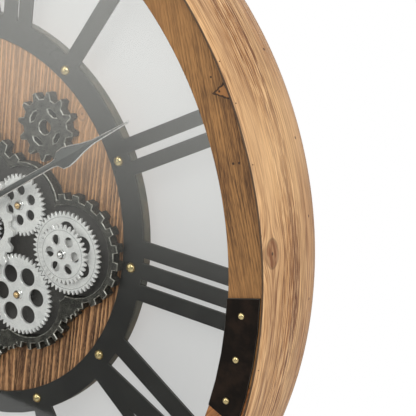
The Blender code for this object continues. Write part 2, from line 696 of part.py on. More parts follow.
def lobe_loops():
    """Outer outlines of the bezel: one toothed lobe round each wheel, plus webs."""
    lobes = [toothed_loop(30, CENTRE_OPENING_RADIUS + BEZEL_RIM * 2.44,
                          CENTRE_OPENING_RADIUS + BEZEL_RIM * 1.1, 0.4, 0.62)]
    lobes.append(circle(SMALL_OPENING_RADIUS + BEZEL_RIM * 0.64, 30, UPPER))
    lobes.append(toothed_loop(20, LOBE_OPENING_RADIUS + BEZEL_RIM * 1.64,
                              LOBE_OPENING_RADIUS + BEZEL_RIM * 0.82, 0.44, 0.54, RIGHT))
    for place in (LOWER_RIGHT, BOTTOM, LOWER_LEFT):
        lobes.append(toothed_loop(28, LOBE_OPENING_RADIUS + BEZEL_RIM * 2.0,
                                  LOBE_OPENING_RADIUS + BEZEL_RIM, 0.36, 0.46, place))
    for first, second in zip(CHAIN[:-1], CHAIN[1:]):
        web = bisector_point(first, second, WHEEL_PITCH_RADIUS * WEB_PLACE_SHARE)
        lobes.append(toothed_loop(20, WHEEL_PITCH_RADIUS * WEB_TIP_SHARE,
                                  WHEEL_PITCH_RADIUS * WEB_ROOT_SHARE, 0.3, 0.62, web))
    return lobes


def bisector_point(first, second, offset):
    """Point beside the middle of two neighbouring wheels, away from the clock axis."""
    middle = ((first[0] + second[0]) / 2.0, (first[1] + second[1]) / 2.0)
    dx, dz = second[0] - first[0], second[1] - first[1]
    span = math.hypot(dx, dz)
    normal = (dz / span, -dx / span)
    if normal[0] * middle[0] + normal[1] * middle[1] < 0.0:
        normal = (-normal[0], -normal[1])
    return (middle[0] + offset * normal[0], middle[1] + offset * normal[1])


def opening_loops(margin=0.0, sides=24):
    """Round windows of the bezel, one for each wheel, with eased notches between."""
    windows = [circle(CENTRE_OPENING_RADIUS + margin, sides + 10, phase=0.9)]
    windows.append(circle(SMALL_OPENING_RADIUS + margin, sides, UPPER, 1.7))
    for index, place in enumerate(CHAIN):
        windows.append(circle(LOBE_OPENING_RADIUS + margin, sides, place, 2.3 + index))
    for first, second in zip(CHAIN[:-1], CHAIN[1:]):
        notch = bisector_point(first, second, WHEEL_PITCH_RADIUS * NOTCH_PLACE_SHARE)
        radius = WHEEL_PITCH_RADIUS * NOTCH_RADIUS_SHARE
        windows.append(circle(radius + margin, 12, notch, 3.1))
    return windows


def inside_any(points, loops):
    """Boolean array: which points lie inside at least one loop."""
    found = np.zeros(len(points), dtype=bool)
    for loop in loops:
        found |= inside_loop(points, loop)
    return found


def make_bezel(bezel_finish, plate_finish):
    """Cast bezel that follows the wheels, and the dark base plate under it."""
    lobes = lobe_loops()
    windows = opening_loops()

    def bezel_solid(points):
        return inside_any(points, lobes) & ~inside_any(points, windows)

    loops = main_body(solid_outline(lobes + windows, bezel_solid))
    plate("gear_bezel", loops, BEZEL_FRONT, BEZEL_BACK, bezel_finish, AXIS)

    floors = opening_loops(BASE_PLATE_MARGIN, 14)

    def floor_solid(points):
        return inside_any(points, floors)

    floor = main_body(solid_outline(floors, floor_solid))
    holes = [circle(BUSH_RADIUS + GAP, 12), circle(BORE_RADIUS, 8, BOTTOM)]
    plate("gear_base_plate", floor[:1] + holes, BASE_FRONT, BASE_BACK, plate_finish, AXIS)


def add_gear(bm, outline, holes, bore, front, back, hub=None, sides=8):
    """Gear blank with lightening holes, and a hub standing in front of it."""
    bore_loop = circle(bore, sides)
    if hub is None:
        add_plate(bm, [outline] + holes + [bore_loop], front, back)
        return
    hub_radius, hub_front = hub
    near = [raise_loop(bm, loop, front) for loop in [outline] + holes]
    far = [raise_loop(bm, loop, back) for loop in [outline] + holes]
    for first, second in zip(near, far):
        join_loops(bm, first, second)
    hub_foot = raise_loop(bm, circle(hub_radius, sides), front)
    hub_top = raise_loop(bm, circle(hub_radius, sides), hub_front)
    bore_front = raise_loop(bm, bore_loop, hub_front)
    bore_back = raise_loop(bm, bore_loop, back)
    join_loops(bm, hub_foot, hub_top)
    join_loops(bm, hub_top, bore_front)
    join_loops(bm, bore_front, bore_back)
    fill_loops(bm, near + [hub_foot])
    fill_loops(bm, far + [bore_back])


def hole_ring(pitch_radius, circle_share, hole_share, sides, phase):
    """Ring of six round holes, its circle and holes by the wheel's pitch radius."""
    places = [polar(pitch_radius * circle_share, phase + 60.0 * k) for k in range(6)]
    return [circle(pitch_radius * hole_share, sides, place, 7.0) for place in places]


def make_train(silver):
    """The turning gears, each with its origin on its own arbor."""
    sleeve_bore = SLEEVE_JOURNAL_RADIUS + GAP
    bm = bmesh.new()
    add_gear(bm, coarse_gear_loop(CENTRE_TEETH),
             hole_ring(CENTRE_PITCH_RADIUS, 0.629, 0.242, 9, 24.2),
             sleeve_bore, COARSE_FRONT, COARSE_BACK, sides=12)
    add_object("centre_gear", bm, silver, AXIS, COARSE_PHASE)
    bm = bmesh.new()
    add_gear(bm, fine_gear_loop(CENTRE_WHEEL_TEETH, 0.0), [], sleeve_bore,
             WHEEL_FRONT, WHEEL_BACK, (SLEEVE_FLANGE_RADIUS, COARSE_BACK - GAP), 12)
    add_object("centre_wheel", bm, silver, AXIS, CENTRE_WHEEL_PHASE)

    bm = bmesh.new()
    add_gear(bm, fine_gear_loop(SMALL_WHEEL_TEETH),
             hole_ring(SMALL_PITCH_RADIUS, 0.513, 0.177, 8, -7.0),
             BORE_RADIUS, WHEEL_FRONT, WHEEL_BACK)
    add_object("upper_wheel", bm, silver, on_axis(UPPER), UPPER_PHASE)
    plate("upper_pinion", tube_loops(HUB_RADIUS, BORE_RADIUS, 8),
          WHEEL_FRONT + HUB_HEIGHT, WHEEL_FRONT + GAP, silver, on_axis(UPPER))

    names = ("right_wheel", "lower_right_wheel", "bottom_wheel", "lower_left_wheel")
    for name, place, phase in zip(names, CHAIN, PHASES):
        bm = bmesh.new()
        outline = fine_gear_loop(WHEEL_TEETH)
        if name == "right_wheel":
            holes = hole_ring(WHEEL_PITCH_RADIUS, 0.561, 0.232, 8, RIGHT_HOLES_DEG)
            hub = (RIGHT_HUB_RADIUS, FRONT_WHEEL_BACK - GAP)
        else:
            holes = hole_ring(WHEEL_PITCH_RADIUS, 0.561, 0.232, 8, 22.0)
            hub = (HUB_RADIUS, WHEEL_FRONT + HUB_HEIGHT)
        add_gear(bm, outline, holes, BORE_RADIUS, WHEEL_FRONT, WHEEL_BACK, hub)
        add_object(name, bm, silver, on_axis(place), phase)

    bm = bmesh.new()
    add_gear(bm, fine_gear_loop(FRONT_WHEEL_TEETH, FREE_TIP_SHARE),
             hole_ring(FRONT_PITCH_RADIUS, 0.543, 0.181, 8, 28.3),
             BORE_RADIUS, FRONT_WHEEL_FRONT, FRONT_WHEEL_BACK,
             (HUB_RADIUS, FRONT_WHEEL_FRONT + FRONT_HUB_HEIGHT))
    add_object("right_front_wheel", bm, silver, on_axis(RIGHT), RIGHT_PHASE)


def post_ends():
    """Posts of the idling wheels: name, place and depth that the journal reaches."""
    wheel_end = WHEEL_FRONT + HUB_HEIGHT + POST_MARGIN
    right_end = FRONT_WHEEL_FRONT + FRONT_HUB_HEIGHT + POST_MARGIN
    return (
        ("upper", UPPER, wheel_end),
        ("right", RIGHT, right_end),
        ("lower_right", LOWER_RIGHT, wheel_end),
        ("lower_left", LOWER_LEFT, wheel_end),
    )


def make_posts(steel, brass):
    """Shouldered posts, the driven shaft, the centre sleeve and the end caps."""
    for name, place, end in post_ends():
        profile = (
            (POST_SHOULDER_RADIUS, BASE_FRONT + GAP),
            (POST_SHOULDER_RADIUS, WHEEL_BACK - GAP),
            (POST_RADIUS, WHEEL_BACK - GAP),
            (POST_RADIUS, end),
        )
        turned(name + "_post", profile, 8, steel, on_axis(place))
        cap_finish = steel if name == "right" else brass
        turned(name + "_cap", cap_profile(end), 8, cap_finish, on_axis(place))

    shaft_end = WHEEL_FRONT + HUB_HEIGHT + POST_MARGIN
    turned("motor_shaft", ((POST_RADIUS, CASE_FRONT + GAP), (POST_RADIUS, shaft_end)), 8,
           steel, on_axis(BOTTOM))
    turned("motor_shaft_cap", cap_profile(shaft_end), 8, brass, on_axis(BOTTOM))

    sleeve = (
        (SLEEVE_FLANGE_RADIUS, BASE_FRONT + GAP),
        (SLEEVE_FLANGE_RADIUS, WHEEL_BACK - GAP),
        (SLEEVE_JOURNAL_RADIUS, WHEEL_BACK - GAP),
        (SLEEVE_JOURNAL_RADIUS, COARSE_FRONT + GAP),
        (BUSH_RADIUS + GAP, COARSE_FRONT + GAP),
        (BUSH_RADIUS + GAP, BASE_FRONT + GAP),
    )
    turned_ring("centre_sleeve", sleeve, 12, steel)


def cap_profile(post_end):
    """Section of a domed end cap in front of an arbor."""
    back = post_end + GAP
    return (
        (TIP_RADIUS, back),
        (TIP_RADIUS, back + TIP_HEIGHT * 0.6),
        (TIP_RADIUS * 0.6, back + TIP_HEIGHT),
    )


def hand_loop(length, scale):
    """Spade hand: ring hub, slim bar, leaf with shouldered foot, needle tip."""
    leaf = length * 0.63
    rise = length - leaf
    half_widths = (
        (HAND_HUB_RADIUS * 0.9, 0.43),
        (leaf - rise * 0.081, 0.33),
        (leaf - rise * 0.0135, 0.43),
        (leaf + rise * 0.0405, 1.0),
        (leaf + rise * 0.122, 1.086),
        (leaf + rise * 0.23, 0.886),
        (leaf + rise * 0.365, 0.514),
        (leaf + rise * 0.5135, 0.243),
        (length, 0.1),
    )
    right = [(w * HAND_HUB_RADIUS * scale, r) for r, w in half_widths]
    left = [(-x, z) for x, z in reversed(right)]
    hub_from = 30.0
    hub = [polar(HAND_HUB_RADIUS, hub_from + (360.0 - 2.0 * hub_from) * i / 12.0)
           for i in range(13)]
    return right + left + hub[::-1]


def tube_loops(outer, inner, sides):
    """Outer and inner loops of a tube."""
    return [circle(outer, sides), circle(inner, sides)]


def make_hands(hand_finish, brass, steel):
    """Hands on their nested arbors, the threaded bush and its nut."""
    start = CASE_FRONT + GAP
    plate("minute_hand", [hand_loop(MINUTE_LENGTH, 1.0), circle(MINUTE_SHAFT_RADIUS + GAP, 10)],
          MINUTE_FRONT, MINUTE_BACK, hand_finish, AXIS, MINUTE_DEG)
    plate("hour_hand", [hand_loop(HOUR_LENGTH, 1.15), circle(HOUR_TUBE_RADIUS + GAP, 10)],
          HOUR_FRONT, HOUR_BACK, hand_finish, AXIS, HOUR_DEG)
    turned("minute_shaft", ((MINUTE_SHAFT_RADIUS, start),
                            (MINUTE_SHAFT_RADIUS, MINUTE_FRONT + POST_MARGIN)), 10, steel, AXIS)
    plate("hour_tube", tube_loops(HOUR_TUBE_RADIUS, MINUTE_SHAFT_RADIUS + GAP, 10),
          HOUR_FRONT + 2.0 * GAP, start, brass, AXIS)
    nut_back = COARSE_FRONT + GAP + GAP
    nut_front = nut_back + BUSH_NUT_HEIGHT
    plate("movement_bush", tube_loops(BUSH_RADIUS, HOUR_TUBE_RADIUS + GAP, 12),
          nut_front + BUSH_PROUD, start, brass, AXIS)
    plate("bush_nut", [circle(BUSH_NUT_RADIUS, 6), circle(BUSH_RADIUS + GAP, 12)],
          nut_front, nut_back, brass, AXIS)
    cap_back = MINUTE_FRONT + GAP + POST_MARGIN
    turned("hand_nut", (
        (CAP_NUT_RADIUS, cap_back),
        (CAP_NUT_RADIUS, cap_back + CAP_NUT_HEIGHT * 0.4),
        (CAP_NUT_RADIUS * 0.7, cap_back + CAP_NUT_HEIGHT * 0.85),
        (0.0, cap_back + CAP_NUT_HEIGHT),
    ), 12, brass, AXIS)


def lens_loop(middle_deg):
    """Pointed lens slot of a sprocket, laid across its radius."""
    x, z = polar(SPROCKET_SLOT_CIRCLE, middle_deg)
    along = polar(1.0, middle_deg + 90.0)
    out = polar(1.0, middle_deg)
    half = SPROCKET_SLOT_LENGTH / 2.0
    wide = SPROCKET_SLOT_WIDTH / 2.0
    shape = ((-half, 0.0), (-half / 2.0, wide * 0.8), (half / 2.0, wide * 0.8),
             (half, 0.0), (half / 2.0, -wide * 0.8), (-half / 2.0, -wide * 0.8))
    return [(x + a * along[0] + b * out[0], z + a * along[1] + b * out[1]) for a, b in shape]


def make_sprockets(finish):
    """Cast sprocket ornaments fixed to the disc above the train."""
    outline = toothed_loop(SPROCKET_TEETH, SPROCKET_TIP_RADIUS, SPROCKET_ROOT_RADIUS,
                           0.22, 0.6)
    loops = [outline, circle(SPROCKET_BORE_RADIUS, 12)]
    loops += [lens_loop(60.0 + 90.0 * k) for k in range(4)]
    back = DISC_FRONT + GAP
    front = back + SPROCKET_THICKNESS
    x, z = RING_INNER_RADIUS * SPROCKET_X_SHARE, RING_INNER_RADIUS * SPROCKET_Z_SHARE
    plate("sprocket_right", loops, front, back, finish, on_axis((x, z)))
    plate("sprocket_left", loops, front, back, finish, on_axis((-x, z)))


def box_loop(width, height, centre=(0.0, 0.0), chamfer=0.0):
    """Rectangle, with cut corners where a chamfer is given."""
    w, h, c = width / 2.0, height / 2.0, chamfer
    if c == 0.0:
        corners = ((-w, -h), (-w, h), (w, h), (w, -h))
    else:
        corners = ((-w, -h + c), (-w, h - c), (-w + c, h), (w - c, h),
                   (w, h - c), (w, -h + c), (w - c, -h), (-w + c, -h))
    return [(centre[0] + x, centre[1] + z) for x, z in corners]


def add_tray(bm, outline, bays, front, back, floor):
    """Block with open bays in its rear face, each down to a floor depth."""
    near = raise_loop(bm, outline, front)
    far = raise_loop(bm, outline, back)
    join_loops(bm, near, far)
    fill_loops(bm, [near])
    rims = [far]
    for bay in bays:
        rim = raise_loop(bm, bay, back)
        bottom = raise_loop(bm, bay, floor)
        join_loops(bm, rim, bottom)
        fill_loops(bm, [bottom])
        rims.append(rim)
    fill_loops(bm, rims)


def add_cell(bm, middle, depth, length, radius):
    """Battery: a cylinder lying along X with its contact nub, ten sides."""
    sides = 10
    half = length / 2.0
    nub = radius * 0.36
    stations = ((-half, radius), (half - 1.2, radius), (half - 1.2, nub), (half, nub))
    rings = []
    for place, size in stations:
        ring = []
        for i in range(sides):
            angle = 2.0 * math.pi * (i + 0.5) / sides
            across = size * math.cos(angle)
            y = -(depth + size * math.sin(angle)) * MM
            ring.append(bm.verts.new(((middle[0] + place) * MM, y, (middle[1] + across) * MM)))
        rings.append(ring)
    for first, second in zip(rings[:-1], rings[1:]):
        join_loops(bm, first, second)
    bm.faces.new(rings[0])
    bm.faces.new(rings[-1])


def make_movement(plastic, sleeve):
    """Quartz movement box with its battery and the hand-setting knob."""
    bm = bmesh.new()
    bay_width = 2.0 * CELL_RADIUS + 2.0 * GAP
    bay_centre = (0.0, -MOVEMENT_SIDE / 2.0 + CASE_WALL + bay_width / 2.0)
    bay = box_loop(CELL_LENGTH + 2.0 * GAP, bay_width, bay_centre)
    back = CASE_BACK + KNOB_HEIGHT
    floor = back + 2.0 * CELL_RADIUS + 2.0 * GAP
    knob_place = (0.0, MOVEMENT_SIDE * 0.22)
    add_tray(bm, box_loop(MOVEMENT_SIDE, MOVEMENT_SIDE, chamfer=4.0), [bay], CASE_FRONT,
             back, floor)
    add_object("movement_case", bm, plastic, AXIS)
    bm = bmesh.new()
    add_cell(bm, bay_centre, back + GAP + CELL_RADIUS, CELL_LENGTH, CELL_RADIUS)
    add_object("movement_battery", bm, sleeve, AXIS)
    plate("set_knob", [toothed_loop(6, KNOB_RADIUS, KNOB_RADIUS - 0.7, 0.5, 0.7)],
          back - GAP, CASE_BACK, plastic, on_axis(knob_place))


def make_motor(plastic, sleeve):
    """Gear motor box behind the disc, with batteries, sliding door and switch."""
    middle = (0.0, -(MOVEMENT_SIDE + MOTOR_CASE_HEIGHT) / 2.0 - MOTOR_MARGIN)
    back = CASE_BACK + DOOR_THICKNESS + GAP
    floor = back + 2.0 * CELL_RADIUS + 2.0 * GAP
    bay_width = 4.0 * CELL_RADIUS + 3.0 * GAP
    bay_centre = (middle[0], middle[1] - MOTOR_CASE_HEIGHT / 2.0 + CASE_WALL + bay_width / 2.0)
    bay = box_loop(CELL_LENGTH + 2.0 * GAP, bay_width, bay_centre)
    slot_centre = (MOTOR_CASE_WIDTH * 0.36, middle[1])
    slot_length = SWITCH_LENGTH + SWITCH_TRAVEL + 2.0 * GAP
    slot = box_loop(SWITCH_WIDTH + 2.0 * GAP, slot_length, slot_centre)
    bm = bmesh.new()
    add_tray(bm, box_loop(MOTOR_CASE_WIDTH, MOTOR_CASE_HEIGHT, middle, 4.0), [bay, slot],
             CASE_FRONT, back, floor)
    add_object("motor_case", bm, plastic, AXIS)
    for name, side in (("motor_battery_upper", 1), ("motor_battery_lower", -1)):
        bm = bmesh.new()
        place = (bay_centre[0], bay_centre[1] + side * (CELL_RADIUS + GAP / 2.0))
        add_cell(bm, place, back + GAP + CELL_RADIUS, CELL_LENGTH, CELL_RADIUS)
        add_object(name, bm, sleeve, AXIS)
    door = box_loop(CELL_LENGTH + 2.0 * DOOR_LAP, bay_width + DOOR_LAP, bay_centre, 1.5)
    plate("battery_door", [door], back - GAP, CASE_BACK, plastic, AXIS)
    switch_centre = (slot_centre[0], slot_centre[1] - SWITCH_TRAVEL / 2.0)
    plate("power_switch", [box_loop(SWITCH_WIDTH, SWITCH_LENGTH, switch_centre)],
          back + SWITCH_WIDTH, CASE_BACK + 2.0 * GAP, plastic, AXIS)


def keyhole(x):
    """Keyhole slot: a round entry with a narrow neck above it."""
    neck = KEYHOLE_NECK / 2.0
    mouth = math.degrees(math.asin(neck / KEYHOLE_RADIUS))
    steps = 8
    entry = [polar(KEYHOLE_RADIUS, mouth + (360.0 - 2.0 * mouth) * i / steps)
             for i in range(steps + 1)]
    loop = [(x + px, pz - KEYHOLE_DROP) for px, pz in entry]
    top = KEYHOLE_DROP + neck / 2.0
    return loop + [(x - neck, top), (x - neck / 2.0, top + neck / 2.0),
                   (x + neck / 2.0, top + neck / 2.0), (x + neck, top)]


def make_hanger(steel):
    """Keyhole hanger plate behind the rear ring; its middle is the origin."""
    keyholes = [keyhole(side * KEYHOLE_SPACING / 2.0) for side in (-1, 1)]
    plate("hanger_plate", [box_loop(HANGER_LENGTH, HANGER_WIDTH, chamfer=2.0)] + keyholes,
          HANGER_THICKNESS, 0.0, steel)


def build_clock():
    """Make every piece of the clock."""
    for leftover in list(bpy.data.objects):
        bpy.data.objects.remove(leftover)
    finish = make_finishes()
    make_hoop(finish["hoop_wood"])
    make_face_segments(finish["face_wood"])
    make_straps(finish["black_steel"])
    make_glass(finish["glass"])
    make_dial(finish["black_steel"])
    make_disc(finish["disc_wood"])
    make_rear_ring(finish["face_wood"])
    make_bezel(finish["cast_iron"], finish["black_steel"])
    make_train(finish["silver"])
    make_posts(finish["steel"], finish["brass"])
    make_sprockets(finish["cast_iron"])
    make_hands(finish["hand_grey"], finish["brass"], finish["steel"])
    make_movement(finish["black_plastic"], finish["battery_sleeve"])
    make_motor(finish["black_plastic"], finish["battery_sleeve"])
    make_hanger(finish["steel"])


build_clock()
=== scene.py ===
"""Dressing of the gear wall clock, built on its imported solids.

Sizes are in metres. The wall is the plane y = 0, the front of the clock faces
-Y, and the clock's own axis runs along Y at z = AXIS_Z.
"""
import json
import logging
import math
from dataclasses import dataclass
from enum import Enum
from typing import Callable, Iterable, Mapping, Optional, Sequence, Union

import bmesh
import bpy
from bpy.types import Material, Mesh, Node, NodeSocket, Object
from mathutils import Matrix, Vector


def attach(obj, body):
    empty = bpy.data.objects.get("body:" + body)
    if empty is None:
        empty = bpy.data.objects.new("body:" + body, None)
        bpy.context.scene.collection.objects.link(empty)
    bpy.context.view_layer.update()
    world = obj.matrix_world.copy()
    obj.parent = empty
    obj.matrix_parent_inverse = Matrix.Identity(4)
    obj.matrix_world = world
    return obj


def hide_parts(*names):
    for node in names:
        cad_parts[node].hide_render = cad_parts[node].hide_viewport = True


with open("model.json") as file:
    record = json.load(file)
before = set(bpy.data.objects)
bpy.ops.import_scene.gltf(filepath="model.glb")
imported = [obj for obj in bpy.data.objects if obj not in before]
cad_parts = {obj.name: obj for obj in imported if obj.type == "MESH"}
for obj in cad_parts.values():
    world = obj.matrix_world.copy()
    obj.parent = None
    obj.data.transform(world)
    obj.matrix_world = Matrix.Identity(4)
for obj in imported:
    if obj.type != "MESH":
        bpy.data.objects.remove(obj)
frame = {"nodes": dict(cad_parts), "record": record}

LOG = logging.getLogger("clock")
AXIS_Z = -0.268
DRUM_RADIUS = 0.3
MINUTE_DEG = 54.0
HOUR_DEG = 304.5
UP_FROM_FLAT = Matrix.Rotation(math.radians(90.0), 4, "X")
CAST_SHARP_DEG = 25.0
SAME_PLACE = 0.00002
SAME_DEPTH = 0.00005
LEAST_MITRE = 0.35

Colour = tuple[float, float, float]
Point = tuple[float, float]
Place = tuple[float, float, float]
Loop = list[Point]


def srgb(red: float, green: float, blue: float) -> Colour:
    """Linear colour of three display levels from 0 to 255."""
    def linear(level: float) -> float:
        share = level / 255.0
        return share / 12.92 if share <= 0.04045 else ((share + 0.055) / 1.055) ** 2.4
    return (linear(red), linear(green), linear(blue))


def operator(kind: str, turned: bool = False) -> Callable:
    """Method for an operator sign: one arithmetic node, its values turned round or not."""
    def method(self: "Socket", other: "Value") -> "Socket":
        return self.graph.math(kind, *((other, self) if turned else (self, other)))
    return method


class Socket:
    """A node output that takes part in shader arithmetic."""

    __add__ = __radd__ = operator("ADD")
    __sub__, __rsub__ = operator("SUBTRACT"), operator("SUBTRACT", True)
    __mul__ = __rmul__ = operator("MULTIPLY")
    __truediv__ = operator("DIVIDE")
    __mod__ = operator("FLOORED_MODULO")
    __pow__ = operator("POWER")

    def __init__(self, graph: "Graph", socket: NodeSocket) -> None:
        """Wrap one output of a graph's node."""
        self.graph = graph
        self.socket = socket


Value = Union[Socket, float, int, bool, tuple, Material]


class Graph:
    """Builds the nodes of one tree, for a material or for geometry."""

    def __init__(self, tree: bpy.types.NodeTree) -> None:
        """Start from an empty tree."""
        self.tree = tree
        tree.nodes.clear()

    def node(self, kind: str, inputs: Optional[Mapping] = None, **settings: object) -> Node:
        """Add a node.

        Args:
            kind: the node's type.
            inputs: values or sockets for its inputs, by name or number.
            settings: its own properties, set first; "stops" fills a colour ramp.

        Returns:
            The new node.
        """
        made = self.tree.nodes.new(kind)
        for key, value in settings.items():
            if key == "stops":
                self._fill_ramp(made, value)
            else:
                setattr(made, key, value)
        for key, value in (inputs or {}).items():
            self.feed(made.inputs[key], value)
        return made

    def out(self, kind: str, inputs: Optional[Mapping] = None, output: Union[int, str] = 0,
            **settings: object) -> Socket:
        """Add a node and return one of its outputs."""
        return Socket(self, self.node(kind, inputs, **settings).outputs[output])

    def feed(self, socket: NodeSocket, value: Value) -> None:
        """Link a socket to an input, or set the input's own value."""
        if isinstance(value, Socket):
            self.tree.links.new(value.socket, socket)
        elif socket.type == "RGBA" and len(value) == 3:
            socket.default_value = (*value, 1.0)
        else:
            socket.default_value = value

    def math(self, operation: str, *values: Value) -> Socket:
        """One arithmetic node."""
        return self.out("ShaderNodeMath", dict(enumerate(values)), operation=operation)

    def most(self, first: Value, *others: Value) -> Value:
        """Largest of several values."""
        for other in others:
            first = self.math("MAXIMUM", first, other)
        return first

    def clamp(self, value: Value) -> Socket:
        """Value held between 0 and 1."""
        return self.math("MINIMUM", self.most(value, 0.0), 1.0)

    def length(self, x: Socket, y: Socket) -> Socket:
        """Length of a flat vector."""
        return self.math("SQRT", x * x + y * y)

    def step(self, value: Value, start: float, end: float) -> Socket:
        """Smooth step from 0 at start to 1 at end."""
        inputs = {"Value": value, "From Min": start, "From Max": end}
        return self.out("ShaderNodeMapRange", inputs, interpolation_type="SMOOTHSTEP")

    def fall(self, value: Value, start: float, end: float) -> Socket:
        """Smooth step from 1 at start to 0 at end."""
        return 1.0 - self.step(value, start, end)

    def mix(self, share: Value, first: Value, second: Value) -> Socket:
        """Mix of two colours."""
        return self.out("ShaderNodeMix", {0: share, 6: first, 7: second}, 2, data_type="RGBA")

    def vector(self, x: Value, y: Value, z: Value) -> Socket:
        """Vector from three numbers."""
        return self.out("ShaderNodeCombineXYZ", {0: x, 1: y, 2: z})

    def noise(self, where: Value, scale: float, detail: float = 2.0,
              rough: float = 0.5) -> Socket:
        """Noise from 0 to 1."""
        return self.out("ShaderNodeTexNoise", {"Vector": where, "Scale": scale,
                                               "Detail": detail, "Roughness": rough})

    def pattern(self, spot: Sequence[Value], stretch: Sequence[float], detail: float = 2.0,
                rough: float = 0.5) -> Socket:
        """Noise at a place whose three parts are each scaled by their own number."""
        scaled = (part * scale for part, scale in zip(spot, stretch))
        return self.noise(self.vector(*scaled), 1.0, detail, rough)

    def place(self) -> tuple[Socket, Socket, Socket, Socket]:
        """Object coordinates, whole and as x, y and z."""
        where = self.out("ShaderNodeTexCoord", output="Object")
        parts = self.node("ShaderNodeSeparateXYZ", {0: where})
        return (where, *(Socket(self, output) for output in parts.outputs))

    @staticmethod
    def _fill_ramp(node: Node, stops: Sequence[tuple[float, Colour]]) -> None:
        """Set the stops of a colour ramp."""
        elements = node.color_ramp.elements
        while len(elements) > 1:
            elements.remove(elements[-1])
        elements[0].position = stops[0][0]
        elements[0].color = (*stops[0][1], 1.0)
        for position, colour in stops[1:]:
            elements.new(position).color = (*colour, 1.0)


class Shader(Graph):
    """A material's graph, ending in one surface."""

    def __init__(self, name: str) -> None:
        """Start an empty material."""
        self.material = bpy.data.materials.new(name)
        self.material.use_nodes = True
        super().__init__(self.material.node_tree)
        self.output = self.node("ShaderNodeOutputMaterial")
        self.colour: Value = (0.0, 0.0, 0.0)

    def lay(self, share: Value, tone: Value) -> None:
        """Cover a share of the surface's colour with a tone."""
        self.colour = self.mix(share, self.colour, tone)

    def bump(self, height: Value, distance: float, strength: float) -> Socket:
        """Normal from a height."""
        return self.out("ShaderNodeBump", {"Height": height, "Distance": distance,
                                           "Strength": strength})

    def principled(self, **inputs: Value) -> Socket:
        """Principled surface; underscores in the names stand for spaces."""
        named = {key.replace("_", " "): value for key, value in inputs.items()}
        return self.out("ShaderNodeBsdfPrincipled", named)

    def blend(self, share: Value, first: Socket, second: Socket) -> Socket:
        """Mix of two surfaces."""
        return self.out("ShaderNodeMixShader", {0: share, 1: first, 2: second})

    def finish(self, surface: Socket) -> Material:
        """Link the surface to the output and return the material."""
        self.feed(self.output.inputs["Surface"], surface)
        return self.material


class GrainLayout(Enum):
    """How wood grain lies on a piece."""

    ROUND = "along the drum's circumference"
    STRAIGHT = "along one direction in the dial's plane"


@dataclass(frozen=True)
class Oval:
    """Oval spot: its place along and across the grain, and its half sizes."""

    along: float
    across: float
    half_long: float
    half_wide: float

    def span(self, along: Socket, across: Socket) -> tuple[Socket, Socket]:
        """Distances from the spot's middle, counted in its half sizes."""
        return (along - self.along) / self.half_long, (across - self.across) / self.half_wide


# Scale of each wood pattern along the grain, across it and into the piece. The
# warps, the uneven steps and the zones' wander lie flat, and their last number
# sets them apart. SCRATCH is the metals' own, in x, y and z.
CLOUD, STREAK = (14.0, 40.0, 20.0), (7.0, 210.0, 60.0)
THIN_STROKE, WIDE_STROKE = (15.0, 520.0, 200.0), (6.0, 130.0, 80.0)
FIBRE, DASH = (70.0, 1050.0, 300.0), (230.0, 1500.0, 600.0)
SLOW_WARP, QUICK_WARP = (5.0, 22.0, 0.0), (22.0, 150.0, 4.0)
UNEVEN_STEP, ZONE_WANDER = (2.5, 75.0, 7.0), (9.0, 30.0, 2.0)
SCRATCH = (900.0, 900.0, 60.0)
# The first tone is painted shadow for the dark line in the gap between the front boards and
# the hoop's lip; MARK_TONE is the nail marks' and knot rims' own colour.
GAP_SHADOW_TONE, MARK_TONE = srgb(44, 28, 17), srgb(40, 27, 18)


@dataclass(frozen=True)
class Wood:
    """Stained or varnished pine, its growth rings cut by the board's face.

    grain_deg is the clock angle of the grain's direction on straight layouts.
    heart is where the rings' axis lies across the grain, heart_depth how far
    it lies under the face, and heart_tilt how fast that depth changes along
    the grain. zones gives tones across the grain, pales soft light areas,
    plug the corners of a three-cornered knot, and nails small dark marks,
    each with its radius. The last two fields give a painted shadow line in the
    gap between the front boards and the hoop's lip, and the depth in front of which it lies.
    """

    name: str
    light: Colour
    middle: Colour
    dark: Colour
    layout: GrainLayout = GrainLayout.STRAIGHT
    grain_deg: float = 0.0
    heart: float = 0.4
    heart_depth: float = 0.05
    heart_tilt: float = 0.0
    ring_spacing: float = 0.0023
    ring_share: float = 0.6
    ring_glint: float = 0.0
    glint_width: float = 0.2
    bright: Optional[Colour] = None
    stroke_share: float = 0.0
    stroke_zone: Optional[Point] = None
    fibre_share: float = 0.45
    fibre_length: float = 1.0
    streak_share: float = 0.35
    warp: float = 0.9
    uneven: float = 0.0
    roughness: float = 0.55
    bump: float = 0.00025
    zones: tuple[tuple[float, Colour], ...] = ()
    knots: tuple[Oval, ...] = ()
    knot_tone: Optional[Colour] = None
    plug: tuple[Point, ...] = ()
    pales: tuple[Oval, ...] = ()
    nails: tuple[tuple[float, float, float], ...] = ()
    seam: Optional[Point] = None
    gap_shadow_front: float = 0.0

    def build(self) -> Material:
        """Make the material."""
        return WoodShader(self).surface()


